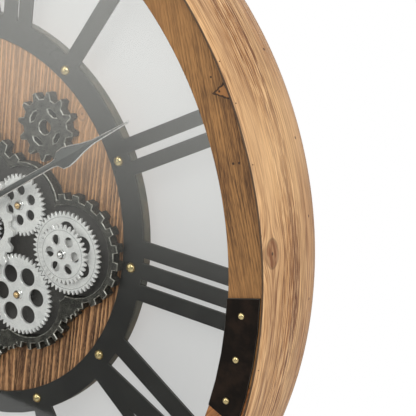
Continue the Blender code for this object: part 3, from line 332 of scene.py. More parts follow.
class WoodShader(Shader):
    """Material of one wood, its colour laid on layer by layer."""

    def __init__(self, wood: Wood) -> None:
        """Place the grain and make the patterns that several layers share."""
        super().__init__(wood.name)
        self.wood = wood
        self.bright = wood.bright or wood.light
        self.heart: Value = 0.0
        self.rim: Value = 0.0
        _, self.x, self.y, z = self.place()
        self.rise = z - AXIS_Z
        self.radius = self.length(self.x, self.rise)
        self.along, across, self.depth = self.grain()
        self.across = self.bent_round_knots(across)
        self.flat = (self.along, self.across, 1.0)
        self.spot = (self.along, self.across, self.depth)
        short = (self.along / wood.fibre_length, self.across, self.depth)
        self.fibre = self.pattern(short, FIBRE, 3.0, 0.7)
        self.dash = self.pattern(short, DASH, 1.0)
        self.ring, self.glint = self.growth_rings()
        self.band = self.stroke_band()

    def grain(self) -> tuple[Socket, Socket, Socket]:
        """Places along the grain, across it and into the piece."""
        if self.wood.layout is GrainLayout.ROUND:
            return self.math("ARCTAN2", self.x, self.rise) * DRUM_RADIUS, self.y, self.radius
        sine, cosine = polar(1.0, self.wood.grain_deg)
        return (self.x * sine + self.rise * cosine, self.x * cosine - self.rise * sine,
                self.y)

    def bent_round_knots(self, across: Socket) -> Socket:
        """Across distance bent round the knots, whose hearts and rims are masked too."""
        bent = across
        ripple = self.noise(self.vector(self.along, across, 0.0), 120.0, 1.0) - 0.5
        for knot in self.wood.knots:
            u, v = knot.span(self.along, across)
            reach = self.length(u, v) + ripple * 0.12
            spread = self.math("EXPONENT", reach * reach * -0.4)
            bent = bent - v * spread * (knot.half_wide * 0.95)
            self.heart = self.most(self.heart, self.fall(reach, 0.8, 1.05))
            ring = self.fall(self.math("ABSOLUTE", reach - 0.96), 0.02, 0.13)
            self.rim = self.most(self.rim, ring * 0.4, self.fall(reach, 0.06, 0.18))
        return bent

    def growth_rings(self) -> tuple[Socket, Socket]:
        """Growth rings: darkness that rises to an edge, and the glint beyond it."""
        wood = self.wood
        slow = self.pattern(self.flat, SLOW_WARP) - 0.5
        quick = self.pattern(self.flat, QUICK_WARP) - 0.5
        under = self.along * wood.heart_tilt + wood.heart_depth
        reach = self.length(self.across - wood.heart, under) / wood.ring_spacing
        count = reach + slow * (wood.warp * 7.0) + quick * (wood.warp * 0.7)
        if wood.uneven:
            count = count + (self.pattern(self.flat, UNEVEN_STEP, 1.0) - 0.5) * wood.uneven
        part = count % 1.0
        age = self.noise(self.vector(self.math("FLOOR", count), 0.0, 9.0), 3.7, 0.0)
        dark = part ** 2.0 * self.fall(part, 0.9, 1.0) * (age * 1.2 + 0.35)
        glint = self.fall(part, wood.glint_width * 0.3, wood.glint_width)
        return dark, glint * (age * 1.1 + 0.2)

    def stroke_band(self) -> Value:
        """Mask of the band across the grain where strokes are strong."""
        if self.wood.stroke_zone is None:
            return 0.0
        low, high = self.wood.stroke_zone
        return self.step(self.across, low - 0.006, low) * self.fall(self.across, high,
                                                                    high + 0.004)

    def lay_stain(self) -> None:
        """Cloudy stain, the zones across the grain (on the hoop partly painted shade), and
        streaks.
        """
        wood = self.wood
        self.colour = wood.light
        self.lay(self.step(self.pattern(self.spot, CLOUD, 3.0), 0.36, 0.64), wood.middle)
        if wood.zones:
            low, high = wood.zones[0][0], wood.zones[-1][0]
            wander = (self.pattern(self.flat, ZONE_WANDER) - 0.5) * 0.012
            stops = tuple(((at - low) / (high - low), tone) for at, tone in wood.zones)
            place = (self.across + wander - low) / (high - low)
            self.lay(0.72, self.out("ShaderNodeValToRGB", {"Fac": place}, stops=stops))
        streak = self.pattern(self.spot, STREAK, 4.0, 0.62)
        self.lay(self.step(streak, 0.45, 0.72) * wood.streak_share, wood.dark)

    def lay_rings(self) -> None:
        """Dark growth rings with lighter wood beyond their edges."""
        self.lay(self.clamp(self.ring * self.wood.ring_share), self.wood.dark)
        if self.wood.ring_glint:
            self.lay(self.clamp(self.glint * self.wood.ring_glint), self.bright)

    def lay_strokes(self) -> None:
        """Long thin strokes, dark and light, stronger in one band across the grain."""
        share = self.band * (self.wood.stroke_share * 0.9) + self.wood.stroke_share
        thin = self.pattern(self.spot, THIN_STROKE, 3.0, 0.6)
        wide = self.pattern(self.spot, WIDE_STROKE)
        self.lay(self.step(wide, 0.5, 0.75) * share * 0.8, self.wood.dark)
        self.lay(self.clamp(self.step(thin, 0.5, 0.68) * share), self.wood.dark)
        self.lay(self.clamp(self.step(thin, 0.48, 0.34) * share * 0.7), self.bright)

    def lay_fibres(self) -> None:
        """Fine fibres and short dashes, dark and light."""
        share = self.wood.fibre_share
        for grain, part in ((self.fibre, self.band * 0.35 + share),
                            (self.dash, self.band * 0.55 + share * 0.8)):
            self.lay(self.step(grain, 0.52, 0.7) * part, self.wood.dark)
            self.lay(self.step(grain, 0.48, 0.32) * (part * 0.7), self.bright)

    def lay_pales(self) -> None:
        """Soft light areas."""
        for pale in self.wood.pales:
            u, v = pale.span(self.along, self.across)
            self.lay(self.math("EXPONENT", u * u * -1.0 - v * v) * 0.45, self.bright)

    def lay_plug(self) -> None:
        """Three-cornered knot with a dark outline and a soft shade round it."""
        corners = self.wood.plug
        wander = (self.noise(self.vector(self.x, self.rise, 0.0), 320.0) - 0.5) * 0.0022
        middle = sum((Vector(corner) for corner in corners), Vector((0.0, 0.0))) / 3.0
        reach = None
        for first, second in zip(corners, corners[1:] + corners[:1]):
            normal = Vector((second[1] - first[1], first[0] - second[0])).normalized()
            if normal.dot(Vector(first) - middle) < 0.0:
                normal = -normal
            side = self.x * normal.x + self.rise * normal.y - normal.dot(Vector(first))
            reach = side if reach is None else self.math("SMOOTH_MAX", reach, side, 0.002)
        reach = reach + wander
        inside = self.fall(reach, -0.0005, 0.0)
        line = self.fall(self.math("ABSOLUTE", reach), 0.0003, 0.0009)
        halo = self.fall(reach, 0.0, 0.009) * (1.0 - inside) * 0.25
        self.lay(inside * 0.75, self.wood.knot_tone or self.wood.light)
        self.rim = self.most(self.rim, line, halo)

    def lay_marks(self) -> None:
        """Nail marks and the knots' rims, over a painted shadow line in the gap at one radius.
        """
        wood = self.wood
        round_board = wood.layout is GrainLayout.ROUND
        first, second = ((self.along, self.across) if round_board else (self.x, self.rise))
        for u, v, size in wood.nails:
            reach = self.length(first - u, second - v)
            self.rim = self.most(self.rim, self.fall(reach, size * 0.5, size))
        # Painted shadow: a dark line at the radii where the gap between the boards and the
        # hoop's lip lies in shade.
        if wood.seam:
            line = self.step(self.radius, *wood.seam)
            if wood.gap_shadow_front:
                line = line * self.step(self.y, wood.gap_shadow_front + 0.002, wood.gap_shadow_front)
            self.lay(line * 0.9, GAP_SHADOW_TONE)
        self.lay(self.rim * 0.88, MARK_TONE)

    def surface(self) -> Material:
        """Lay every layer and return the material."""
        wood = self.wood
        self.lay_stain()
        self.lay_rings()
        if wood.stroke_share:
            self.lay_strokes()
        if wood.knots:
            self.lay(self.heart * 0.9, wood.knot_tone or wood.dark)
        self.lay_fibres()
        self.lay_pales()
        if wood.plug:
            self.lay_plug()
        self.lay_marks()
        height = self.ring * -0.5 + self.fibre * -0.35 + self.dash * -0.15 + self.rim * -0.8
        return self.finish(self.principled(
            Base_Color=self.colour, Normal=self.bump(height, wood.bump, 0.8),
            Roughness=self.fibre * 0.2 + self.ring * 0.12 + (wood.roughness - 0.1),
            Specular_IOR_Level=0.3))


@dataclass(frozen=True)
class Metal:
    """Painted, cast or polished metal with slow tone changes and fine grain."""

    name: str
    colour: Colour
    second: Colour
    metallic: float
    roughness: float
    patch_scale: float = 60.0
    patch_share: float = 0.5
    grain: float = 0.00004
    grain_scale: float = 1800.0
    scratches: float = 0.0
    speckle: float = 0.0
    specular: float = 0.5
    ridge_deg: Optional[float] = None

    def build(self) -> Material:
        """Make the material."""
        shader = Shader(self.name)
        where, x, y, z = shader.place()
        patch = shader.noise(where, self.patch_scale, 4.0, 0.6)
        share = shader.step(patch, 0.4, 0.68) * self.patch_share
        shader.colour = self.colour
        shader.lay(share, self.second)
        if self.scratches:
            streak = shader.pattern((x, y, z), SCRATCH)
            shader.lay(shader.step(streak, 0.62, 0.72) * self.scratches, self.second)
        grit = shader.noise(where, self.grain_scale)
        if self.speckle:
            fleck = shader.noise(where, 1100.0, 2.0, 0.7)
            shader.lay(shader.step(fleck, 0.5, 0.72) * self.speckle, self.second)
            shader.lay(shader.step(fleck, 0.5, 0.3) * self.speckle * 0.6,
                       tuple(level * 0.5 for level in self.colour))
        height = grit * self.grain
        if self.ridge_deg is not None:
            turn = math.radians(self.ridge_deg)
            side = x * math.cos(turn) - (z - AXIS_Z) * math.sin(turn)
            height = height - shader.math("ABSOLUTE", side) * 0.16
        return shader.finish(shader.principled(
            Base_Color=shader.colour, Metallic=self.metallic, Specular_IOR_Level=self.specular,
            Roughness=share * 0.12 + grit * 0.08 + (self.roughness - 0.08),
            Normal=shader.bump(height, 1.0, 0.7)))


@dataclass(frozen=True)
class Plastic:
    """Moulded plastic with a fine spark texture."""

    name: str
    colour: Colour
    roughness: float = 0.5

    def build(self) -> Material:
        """Make the material."""
        shader = Shader(self.name)
        where = shader.place()[0]
        spark = shader.noise(where, 2200.0)
        lighter = tuple(min(1.0, level * 1.35 + 0.004) for level in self.colour)
        return shader.finish(shader.principled(
            Base_Color=shader.mix(shader.noise(where, 40.0), self.colour, lighter),
            Roughness=spark * 0.1 + (self.roughness - 0.05),
            Normal=shader.bump(spark, 0.00004, 0.6)))


@dataclass(frozen=True)
class ClearGlass:
    """Thin window glass: see-through, with a mirror film that grows at an angle."""

    name: str = "window_glass"
    index: float = 1.5

    def build(self) -> Material:
        """Make the material; the index turns over on the pane's inner side."""
        shader = Shader(self.name)
        behind = shader.out("ShaderNodeNewGeometry", output="Backfacing")
        index = behind * (1.0 / self.index - self.index) + self.index
        film = shader.clamp(shader.out("ShaderNodeFresnel", {"IOR": index}))
        clear = shader.out("ShaderNodeBsdfTransparent", {"Color": (0.985, 0.99, 0.985)})
        mirror = shader.principled(Base_Color=(1.0, 1.0, 1.0), Metallic=1.0, Roughness=0.03)
        return shader.finish(shader.blend(film, clear, mirror))


Look = Union[Wood, Metal, Plastic, ClearGlass]

FINISHES: dict[str, Look] = {
    "hoop": Wood(
        "hoop_wood", srgb(204, 158, 108), srgb(180, 132, 84), srgb(104, 60, 30),
        GrainLayout.ROUND, heart=-0.2, heart_depth=0.01, ring_spacing=0.0042, ring_share=0.3,
        bright=srgb(232, 190, 140), stroke_share=0.8, stroke_zone=(-0.064, -0.047),
        fibre_share=0.5, fibre_length=3.0, streak_share=0.3, warp=0.8, roughness=0.45,
        bump=0.00015,
        # The zones are partly grain and partly painted shade: the dark band from y -0.066 to
        # -0.046 is a grain streak, while the darkening from -0.034 to the wall is painted
        # shade on the rear rounding.
        zones=((-0.090, srgb(206, 162, 116)), (-0.076, srgb(210, 166, 120)),
               (-0.066, srgb(192, 140, 86)), (-0.060, srgb(170, 114, 58)),
               (-0.050, srgb(154, 98, 48)), (-0.046, srgb(186, 136, 84)),
               (-0.043, srgb(208, 166, 118)), (-0.037, srgb(208, 166, 118)),
               (-0.034, srgb(180, 132, 90)), (-0.020, srgb(170, 122, 80)),
               (0.0, srgb(158, 112, 74))),
        knots=(Oval(0.4084, -0.080, 0.0098, 0.0072),), knot_tone=srgb(112, 64, 36),
        # painted shadow in the gap at the hoop lip's inner edge
        seam=(0.30255, 0.3022), gap_shadow_front=-0.0865,
        pales=(Oval(0.345, -0.068, 0.04, 0.03), Oval(0.335, -0.026, 0.045, 0.014)),
        nails=tuple((math.radians(turn) * DRUM_RADIUS, y, size) for turn, y, size in (
            (53.5, -0.030, 0.0014), (65.2, -0.0285, 0.0014), (75.2, -0.028, 0.0014),
            (86.0, -0.028, 0.0013), (97.0, -0.028, 0.0013), (54.2, -0.0872, 0.0006),
            (59.5, -0.0870, 0.0006), (67.0, -0.0872, 0.0006), (92.5, -0.0870, 0.0006)))),
    "rear_wood": Wood("rear_wood", srgb(196, 158, 116), srgb(176, 136, 94), srgb(128, 90, 56),
                      GrainLayout.ROUND, stroke_share=0.3),
    "disc": Wood("disc_wood", srgb(142, 97, 63), srgb(97, 65, 44), srgb(40, 27, 20),
                 heart=0.054, heart_depth=-0.00354, heart_tilt=0.03, ring_spacing=0.0044,
                 ring_share=0.95, ring_glint=1.2, glint_width=0.45, bright=srgb(214, 162, 114),
                 fibre_share=0.5, streak_share=0.4, stroke_share=0.5, warp=0.3, uneven=2.2,
                 roughness=0.6, bump=0.0004, knots=(Oval(0.1039, 0.0948, 0.005, 0.004),),
                 knot_tone=srgb(120, 78, 58), pales=(Oval(0.095, 0.09, 0.06, 0.045),
                                                     Oval(0.15, -0.02, 0.07, 0.08))),
    "disc_side": Metal("disc_side", srgb(84, 87, 78), srgb(128, 112, 92), 0.0, 0.6, 70.0,
                       speckle=0.3),
    "black": Metal("black_paint", srgb(36, 36, 35), srgb(48, 48, 46), 0.2, 0.42, 35.0,
                   scratches=0.2),
    "base": Metal("base_paint", srgb(82, 80, 78), srgb(98, 96, 92), 0.1, 0.5, 50.0,
                  speckle=0.3),
    "black_edge": Metal("black_edge", srgb(84, 84, 80), srgb(120, 118, 110), 0.5, 0.4),
    "strap": Metal("strap_paint", srgb(18, 13, 9), srgb(44, 31, 22), 0.0, 0.45, 90.0,
                   scratches=0.1, specular=0.1),
    "iron": Metal("dark_iron", srgb(42, 42, 39), srgb(112, 110, 102), 0.3, 0.5, 180.0, 0.4,
                  grain=0.0002, grain_scale=900.0, speckle=0.75, specular=0.3),
    "iron_edge": Metal("worn_iron", srgb(126, 126, 118), srgb(210, 209, 200), 0.5, 0.4,
                       260.0, 0.9, speckle=0.5),
    "silver": Metal("bright_silver", srgb(232, 232, 230), srgb(186, 188, 188), 0.3, 0.42,
                    120.0, 0.35, grain=0.00016, grain_scale=1100.0, speckle=0.7),
    "silver_edge": Metal("silver_edge", srgb(236, 237, 237), srgb(214, 215, 216), 0.6, 0.28),
    # grey of a thin ring that stands for the shade in a turned groove: painted shade
    "groove": Metal("turned_groove", srgb(128, 129, 128), srgb(150, 151, 150), 0.3, 0.4),
    "brass": Metal("satin_brass", srgb(206, 188, 138), srgb(164, 144, 98), 0.85, 0.28, 200.0),
    "gold": Metal("gilt_tip", srgb(214, 184, 136), srgb(192, 160, 112), 0.7, 0.3),
    "polished": Metal("polished_hub", srgb(232, 233, 232), srgb(216, 217, 217), 0.9, 0.24),
    "steel": Metal("turned_steel", srgb(176, 176, 176), srgb(146, 146, 146), 0.85, 0.3),
    "minute_face": Metal("minute_face", srgb(74, 76, 75), srgb(60, 62, 61), 0.35, 0.36,
                         ridge_deg=MINUTE_DEG),
    "hour_face": Metal("hour_face", srgb(74, 76, 75), srgb(60, 62, 61), 0.35, 0.36,
                       ridge_deg=HOUR_DEG),
    "hand": Metal("hand_grey", srgb(100, 102, 101), srgb(82, 84, 83), 0.5, 0.35),
    "hand_edge": Metal("hand_edge", srgb(236, 237, 237), srgb(206, 208, 208), 0.6, 0.3),
    "plastic": Plastic("moulded_black", srgb(26, 26, 26)),
    "sleeve": Plastic("battery_sleeve", srgb(48, 84, 112), 0.35),
    "glass": ClearGlass(),
}


class Workshop:
    """Makes each finish once."""

    def __init__(self) -> None:
        """Start with nothing made."""
        self._made: dict[str, Material] = {}

    def finish(self, look: Union[str, Look]) -> Material:
        """Material of a look, or of a finish by its name in the table."""
        look = FINISHES[look] if isinstance(look, str) else look
        if look.name not in self._made:
            self._made[look.name] = look.build()
        return self._made[look.name]


SHOP = Workshop()


def polar(radius: float, degrees: float) -> Point:
    """Point at a clock angle, clockwise from twelve as seen from the front."""
    angle = math.radians(degrees)
    return (radius * math.sin(angle), radius * math.cos(angle))


def turned_loop(loop: Sequence[Point], centre: Point, degrees: float) -> Loop:
    """Loop turned clockwise round a centre, as seen from the front."""
    sine, cosine = polar(1.0, degrees)
    return [(centre[0] + (x - centre[0]) * cosine + (z - centre[1]) * sine,
             centre[1] + (z - centre[1]) * cosine - (x - centre[0]) * sine)
            for x, z in loop]


def loop_area(loop: Sequence[Point]) -> float:
    """Area of a loop, positive when it runs anticlockwise."""
    return sum(x0 * z1 - x1 * z0
               for (x0, z0), (x1, z1) in zip(loop, [*loop[1:], loop[0]])) / 2.0


def inset(loop: Sequence[Point], width: float) -> Loop:
    """Loop moved to its left by a width, with mitred corners."""
    moved = []
    for i, point in enumerate(loop):
        here = Vector(point)
        first = (here - Vector(loop[i - 1])).normalized()
        second = (Vector(loop[(i + 1) % len(loop)]) - here).normalized()
        left = Vector((-first.y, first.x)) + Vector((-second.y, second.x))
        shift = left / max(1.0 + first.dot(second), LEAST_MITRE)
        moved.append((point[0] + shift.x * width, point[1] + shift.y * width))
    return moved


def link_mesh(name: str, mesh: Mesh) -> Object:
    """Object of a mesh, at the origin."""
    made = bpy.data.objects.new(name, mesh)
    bpy.context.scene.collection.objects.link(made)
    return made


def settle(piece: Object, body: str, slot: str, *nodes: str) -> None:
    """Tie a finished piece to its body and hide the solids it stands for."""
    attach(piece, body)
    if nodes:
        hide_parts(*nodes)
    LOG.info("%s rides on %s", piece.name, body)


class Piece:
    """Mesh under construction, kept at the clock's own places."""

    def __init__(self, name: str) -> None:
        """Start an empty mesh."""
        self.name = name
        self.mesh = bmesh.new()

    def row(self, loop: Iterable[Point], y: float, centre: Point = (0.0, 0.0)) -> list:
        """Vertices of a loop at one depth, places counted from the clock's axis."""
        return [self.mesh.verts.new((centre[0] + x, y, centre[1] + AXIS_Z + z))
                for x, z in loop]

    def face(self, corners: Sequence, slot: int, smooth: bool = True) -> None:
        """One face with its material slot."""
        made = self.mesh.faces.new(corners)
        made.material_index = slot
        made.smooth = smooth

    def join(self, first: list, second: list, slot: int = 0, smooth: bool = True) -> None:
        """Wall of faces between two loops of equal count, or a loop and a pole."""
        if len(first) == 1 or len(second) == 1:
            tip, ring = (first[0], second) if len(first) == 1 else (second[0], first)
            for i, vert in enumerate(ring):
                self.face((tip, vert, ring[(i + 1) % len(ring)]), slot)
            return
        for i in range(len(first)):
            j = (i + 1) % len(first)
            self.face((first[i], first[j], second[j], second[i]), slot, smooth)

    def fill(self, loops: Sequence[list]) -> None:
        """Flat face between an outer loop and the loops inside it."""
        edges = [self.mesh.edges.get((vert, loop[(i + 1) % len(loop)]))
                 for loop in loops for i, vert in enumerate(loop)]
        bmesh.ops.triangle_fill(self.mesh, use_beauty=True, use_dissolve=False, edges=edges)

    def plate(self, loops: Sequence[Loop], front: float, back: float, chamfer: float,
              side_slot: int = 0) -> "Piece":
        """Flat plate with a chamfer round every front edge.

        Args:
            loops: the outline and then its holes.
            front: y of the front face.
            back: y of the rear face.
            chamfer: width and depth of the chamfer, which takes slot 1.
            side_slot: slot of the side walls.

        Returns:
            This piece.
        """
        fronts, backs = [], []
        for index, loop in enumerate(loops):
            if (loop_area(loop) > 0.0) != (index == 0):
                loop = list(reversed(loop))
            fronts.append(self.row(inset(loop, chamfer), front))
            shoulder = self.row(loop, front + chamfer)
            backs.append(self.row(loop, back))
            self.join(fronts[-1], shoulder, 1, False)
            self.join(shoulder, backs[-1], side_slot)
        self.fill(fronts)
        self.fill(backs)
        return self

    def turned(self, profile: Sequence[Point], sides: int, centre: Point = (0.0, 0.0),
               closed: bool = False, slots: Optional[Sequence[int]] = None) -> "Piece":
        """Solid of revolution.

        Args:
            profile: (radius, y) points; a radius of 0 is a pole.
            sides: number of sides.
            centre: place of the axis.
            closed: True where the last point joins the first, as in a ring.
            slots: material slot of each stretch of the profile.

        Returns:
            This piece.
        """
        rows = [self.row([polar(radius, -360.0 * i / sides)
                          for i in range(sides if radius else 1)], y, centre)
                for radius, y in profile]
        pairs = list(zip(rows[:-1], rows[1:])) + ([(rows[-1], rows[0])] if closed else [])
        for (first, second), slot in zip(pairs, slots or [0] * len(pairs)):
            self.join(first, second, slot)
        return self

    def done(self, *looks: Union[str, Look], sharp_deg: float = 30.0) -> Object:
        """Close the mesh into an object with its finishes."""
        bmesh.ops.recalc_face_normals(self.mesh, faces=self.mesh.faces)
        data = bpy.data.meshes.new(self.name)
        self.mesh.to_mesh(data)
        self.mesh.free()
        for look in looks:
            data.materials.append(SHOP.finish(look))
        data.set_sharp_from_angle(angle=math.radians(sharp_deg))
        return link_mesh(self.name, data)


def front_loops(node: str, y: float) -> list[Loop]:
    """Outlines of a solid's flat face at one depth, outer one first.

    Args:
        node: name of the solid.
        y: depth of the face.

    Returns:
        Loops of points counted from the clock's axis.
    """
    mesh = bmesh.new()
    mesh.from_mesh(frame["nodes"][node].data)
    bmesh.ops.remove_doubles(mesh, verts=mesh.verts, dist=SAME_PLACE)
    flat = [face for face in mesh.faces
            if all(abs(vert.co.y - y) < SAME_DEPTH for vert in face.verts)]
    chosen = set(flat)
    following = {}
    for face in flat:
        for corner in face.loops:
            if sum(other in chosen for other in corner.edge.link_faces) == 1:
                following[corner.vert.index] = corner.link_loop_next.vert.index
    places = {vert.index: (vert.co.x, vert.co.z - AXIS_Z) for vert in mesh.verts}
    mesh.free()
    loops = []
    while following:
        here = next(iter(following))
        loop = []
        while here in following:
            loop.append(places[here])
            here = following.pop(here)
        loops.append(loop)
    return sorted(loops, key=lambda loop: -abs(loop_area(loop)))


class BakedTree:
    """Geometry Nodes tree with named inputs, run once for each mesh."""

    NAME = ""
    INTEGERS: tuple[str, ...] = ()
    FLOATS: tuple[str, ...] = ()

    def __init__(self) -> None:
        """Build the tree."""
        self.tree = bpy.data.node_groups.new(self.NAME, "GeometryNodeTree")
        kinds = {"Geometry": "Geometry", **dict.fromkeys(self.INTEGERS, "Int"),
                 **dict.fromkeys(self.FLOATS, "Float"), "Material": "Material"}
        add = self.tree.interface.new_socket
        self.inputs = {name: add(name, in_out="INPUT",
                                 socket_type="NodeSocket" + kind).identifier
                       for name, kind in kinds.items()}
        add("Geometry", in_out="OUTPUT", socket_type="NodeSocketGeometry")
        graph = Graph(self.tree)
        given = graph.node("NodeGroupInput")
        value = {name: Socket(graph, given.outputs[name]) for name in kinds}
        real = graph.out("GeometryNodeRealizeInstances",
                         {"Geometry": self.shape(graph, value)})
        dressed = graph.out("GeometryNodeSetMaterial",
                            {"Geometry": real, "Material": value["Material"]})
        graph.node("NodeGroupOutput", {0: dressed})

    def shape(self, graph: Graph, value: dict[str, Socket]) -> Socket:
        """Nodes of the shape itself."""
        raise NotImplementedError

    def bake(self, name: str, look: str, values: Mapping[str, Value],
             spots: Sequence[Point] = ()) -> Mesh:
        """Run the tree and return its plain mesh.

        Args:
            name: name of the mesh.
            look: finish of the mesh.
            values: value of each named input.
            spots: points that the tree starts from, in its own plane.

        Returns:
            The mesh, in the tree's own plane.
        """
        start = bpy.data.meshes.new(name + "_points")
        start.from_pydata([(x, z, 0.0) for x, z in spots], [], [])
        holder = link_mesh(name + "_points", start)
        modifier = holder.modifiers.new("tree", "NODES")
        modifier.node_group = self.tree
        for key, value in {**values, "Material": SHOP.finish(look)}.items():
            modifier[self.inputs[key]] = value
        graph = bpy.context.evaluated_depsgraph_get()
        mesh = bpy.data.meshes.new_from_object(holder.evaluated_get(graph))
        mesh.name = name
        while len(mesh.materials) > 1 and mesh.materials[0] is None:
            mesh.materials.pop(index=0)
        bpy.data.objects.remove(holder)
        return mesh


class WheelTree(BakedTree):
    """Toothed wheel blank with its bore and a ring of round holes."""

    NAME = "toothed_wheel"
    INTEGERS = ("Teeth", "Holes")
    FLOATS = ("Tip Radius", "Root Radius", "Tip Share", "Root Share", "Bore Radius",
              "Hole Circle", "Hole Radius", "Hole Turn", "Thickness")
    BORE_POINTS, HOLE_POINTS, SAMPLES = 48, 36, 12

    def shape(self, graph: Graph, value: dict[str, Socket]) -> Socket:
        """Flat outline with its openings, filled and extruded."""
        loops = (self._outline(graph, value), self._holes(graph, value),
                 self._circle(graph, self.BORE_POINTS, value["Bore Radius"]))
        flat = graph.out("GeometryNodeFillCurve", {"Curve": self._joined(graph, loops)},
                         mode="NGONS")
        raised = graph.out("GeometryNodeExtrudeMesh",
                           {"Mesh": flat, "Offset": (0.0, 0.0, 1.0), "Individual": False,
                            "Offset Scale": value["Thickness"]}, "Mesh", mode="FACES")
        under = graph.out("GeometryNodeFlipFaces", {"Mesh": flat})
        return graph.out("GeometryNodeMergeByDistance",
                         {"Geometry": self._joined(graph, (raised, under)), "Distance": 1e-6})

    @staticmethod
    def _joined(graph: Graph, parts: Sequence[Socket]) -> Socket:
        """Several geometries as one."""
        join = graph.node("GeometryNodeJoinGeometry")
        for part in parts:
            graph.tree.links.new(part.socket, join.inputs[0])
        return Socket(graph, join.outputs[0])

    @staticmethod
    def _circle(graph: Graph, count: Value, radius: Value) -> Socket:
        """Closed circle of points."""
        return graph.out("GeometryNodeCurvePrimitiveCircle",
                         {"Resolution": count, "Radius": radius})

    @staticmethod
    def _moved(graph: Graph, curve: Socket, x: Socket, y: Socket) -> Socket:
        """Curve with its points set to new places."""
        return graph.out("GeometryNodeSetPosition",
                         {"Geometry": curve, "Position": graph.vector(x, y, 0.0)})

    def _outline(self, graph: Graph, value: dict[str, Socket]) -> Socket:
        """Toothed outline: a circle whose points move in and out."""
        count = value["Teeth"] * self.SAMPLES
        index = graph.out("GeometryNodeInputIndex")
        within = (index / self.SAMPLES) % 1.0
        away = 1.0 - graph.math("ABSOLUTE", within * 2.0 - 1.0)
        rise = graph.clamp((value["Root Share"] - away)
                           / (value["Root Share"] - value["Tip Share"]))
        radius = value["Root Radius"] + rise * (value["Tip Radius"] - value["Root Radius"])
        angle = index / count * (2.0 * math.pi)
        return self._moved(graph, self._circle(graph, count, 1.0),
                           radius * graph.math("SINE", angle),
                           radius * graph.math("COSINE", angle))

    def _holes(self, graph: Graph, value: dict[str, Socket]) -> Socket:
        """Ring of round holes."""
        count = self.HOLE_POINTS
        copies = graph.out("GeometryNodeDuplicateElements",
                           {"Geometry": self._circle(graph, count, 1.0),
                            "Amount": value["Holes"]}, domain="SPLINE")
        index = graph.out("GeometryNodeInputIndex")
        number = graph.math("FLOOR", index / count + 0.001)
        around = (index % count) * (2.0 * math.pi / count)
        middle = number * (2.0 * math.pi) / value["Holes"] + value["Hole Turn"]
        side, up = graph.math("SINE", middle), graph.math("COSINE", middle)
        across = graph.math("COSINE", around) * value["Hole Radius"]
        out = graph.math("SINE", around) * value["Hole Radius"] + value["Hole Circle"]
        return self._moved(graph, copies, out * side + across * up, out * up - across * side)


class StudTree(BakedTree):
    """Dome on every given point."""

    NAME = "studs"
    FLOATS = ("Radius", "Height")
    SEGMENTS, RINGS = 20, 12

    def shape(self, graph: Graph, value: dict[str, Socket]) -> Socket:
        """Smooth domes of the given radius and height."""
        ball = graph.out("GeometryNodeMeshUVSphere",
                         {"Segments": self.SEGMENTS, "Rings": self.RINGS, "Radius": 1.0})
        size = graph.vector(value["Radius"], value["Radius"], value["Height"])
        dome = graph.out("GeometryNodeTransform",
                         {"Geometry": graph.out("GeometryNodeSetShadeSmooth",
                                                {"Geometry": ball}), "Scale": size})
        return graph.out("GeometryNodeInstanceOnPoints",
                         {"Points": value["Geometry"], "Instance": dome})

    def make(self, name: str, spots: Sequence[Point], y: float, radius: float,
             height: float) -> Object:
        """Brass domes at the given spots, standing in front of a face at y."""
        mesh = self.bake(name, "brass", {"Radius": radius, "Height": height}, spots)
        mesh.transform(Matrix.Translation((0.0, y, AXIS_Z)) @ UP_FROM_FLAT)
        return link_mesh(name, mesh)


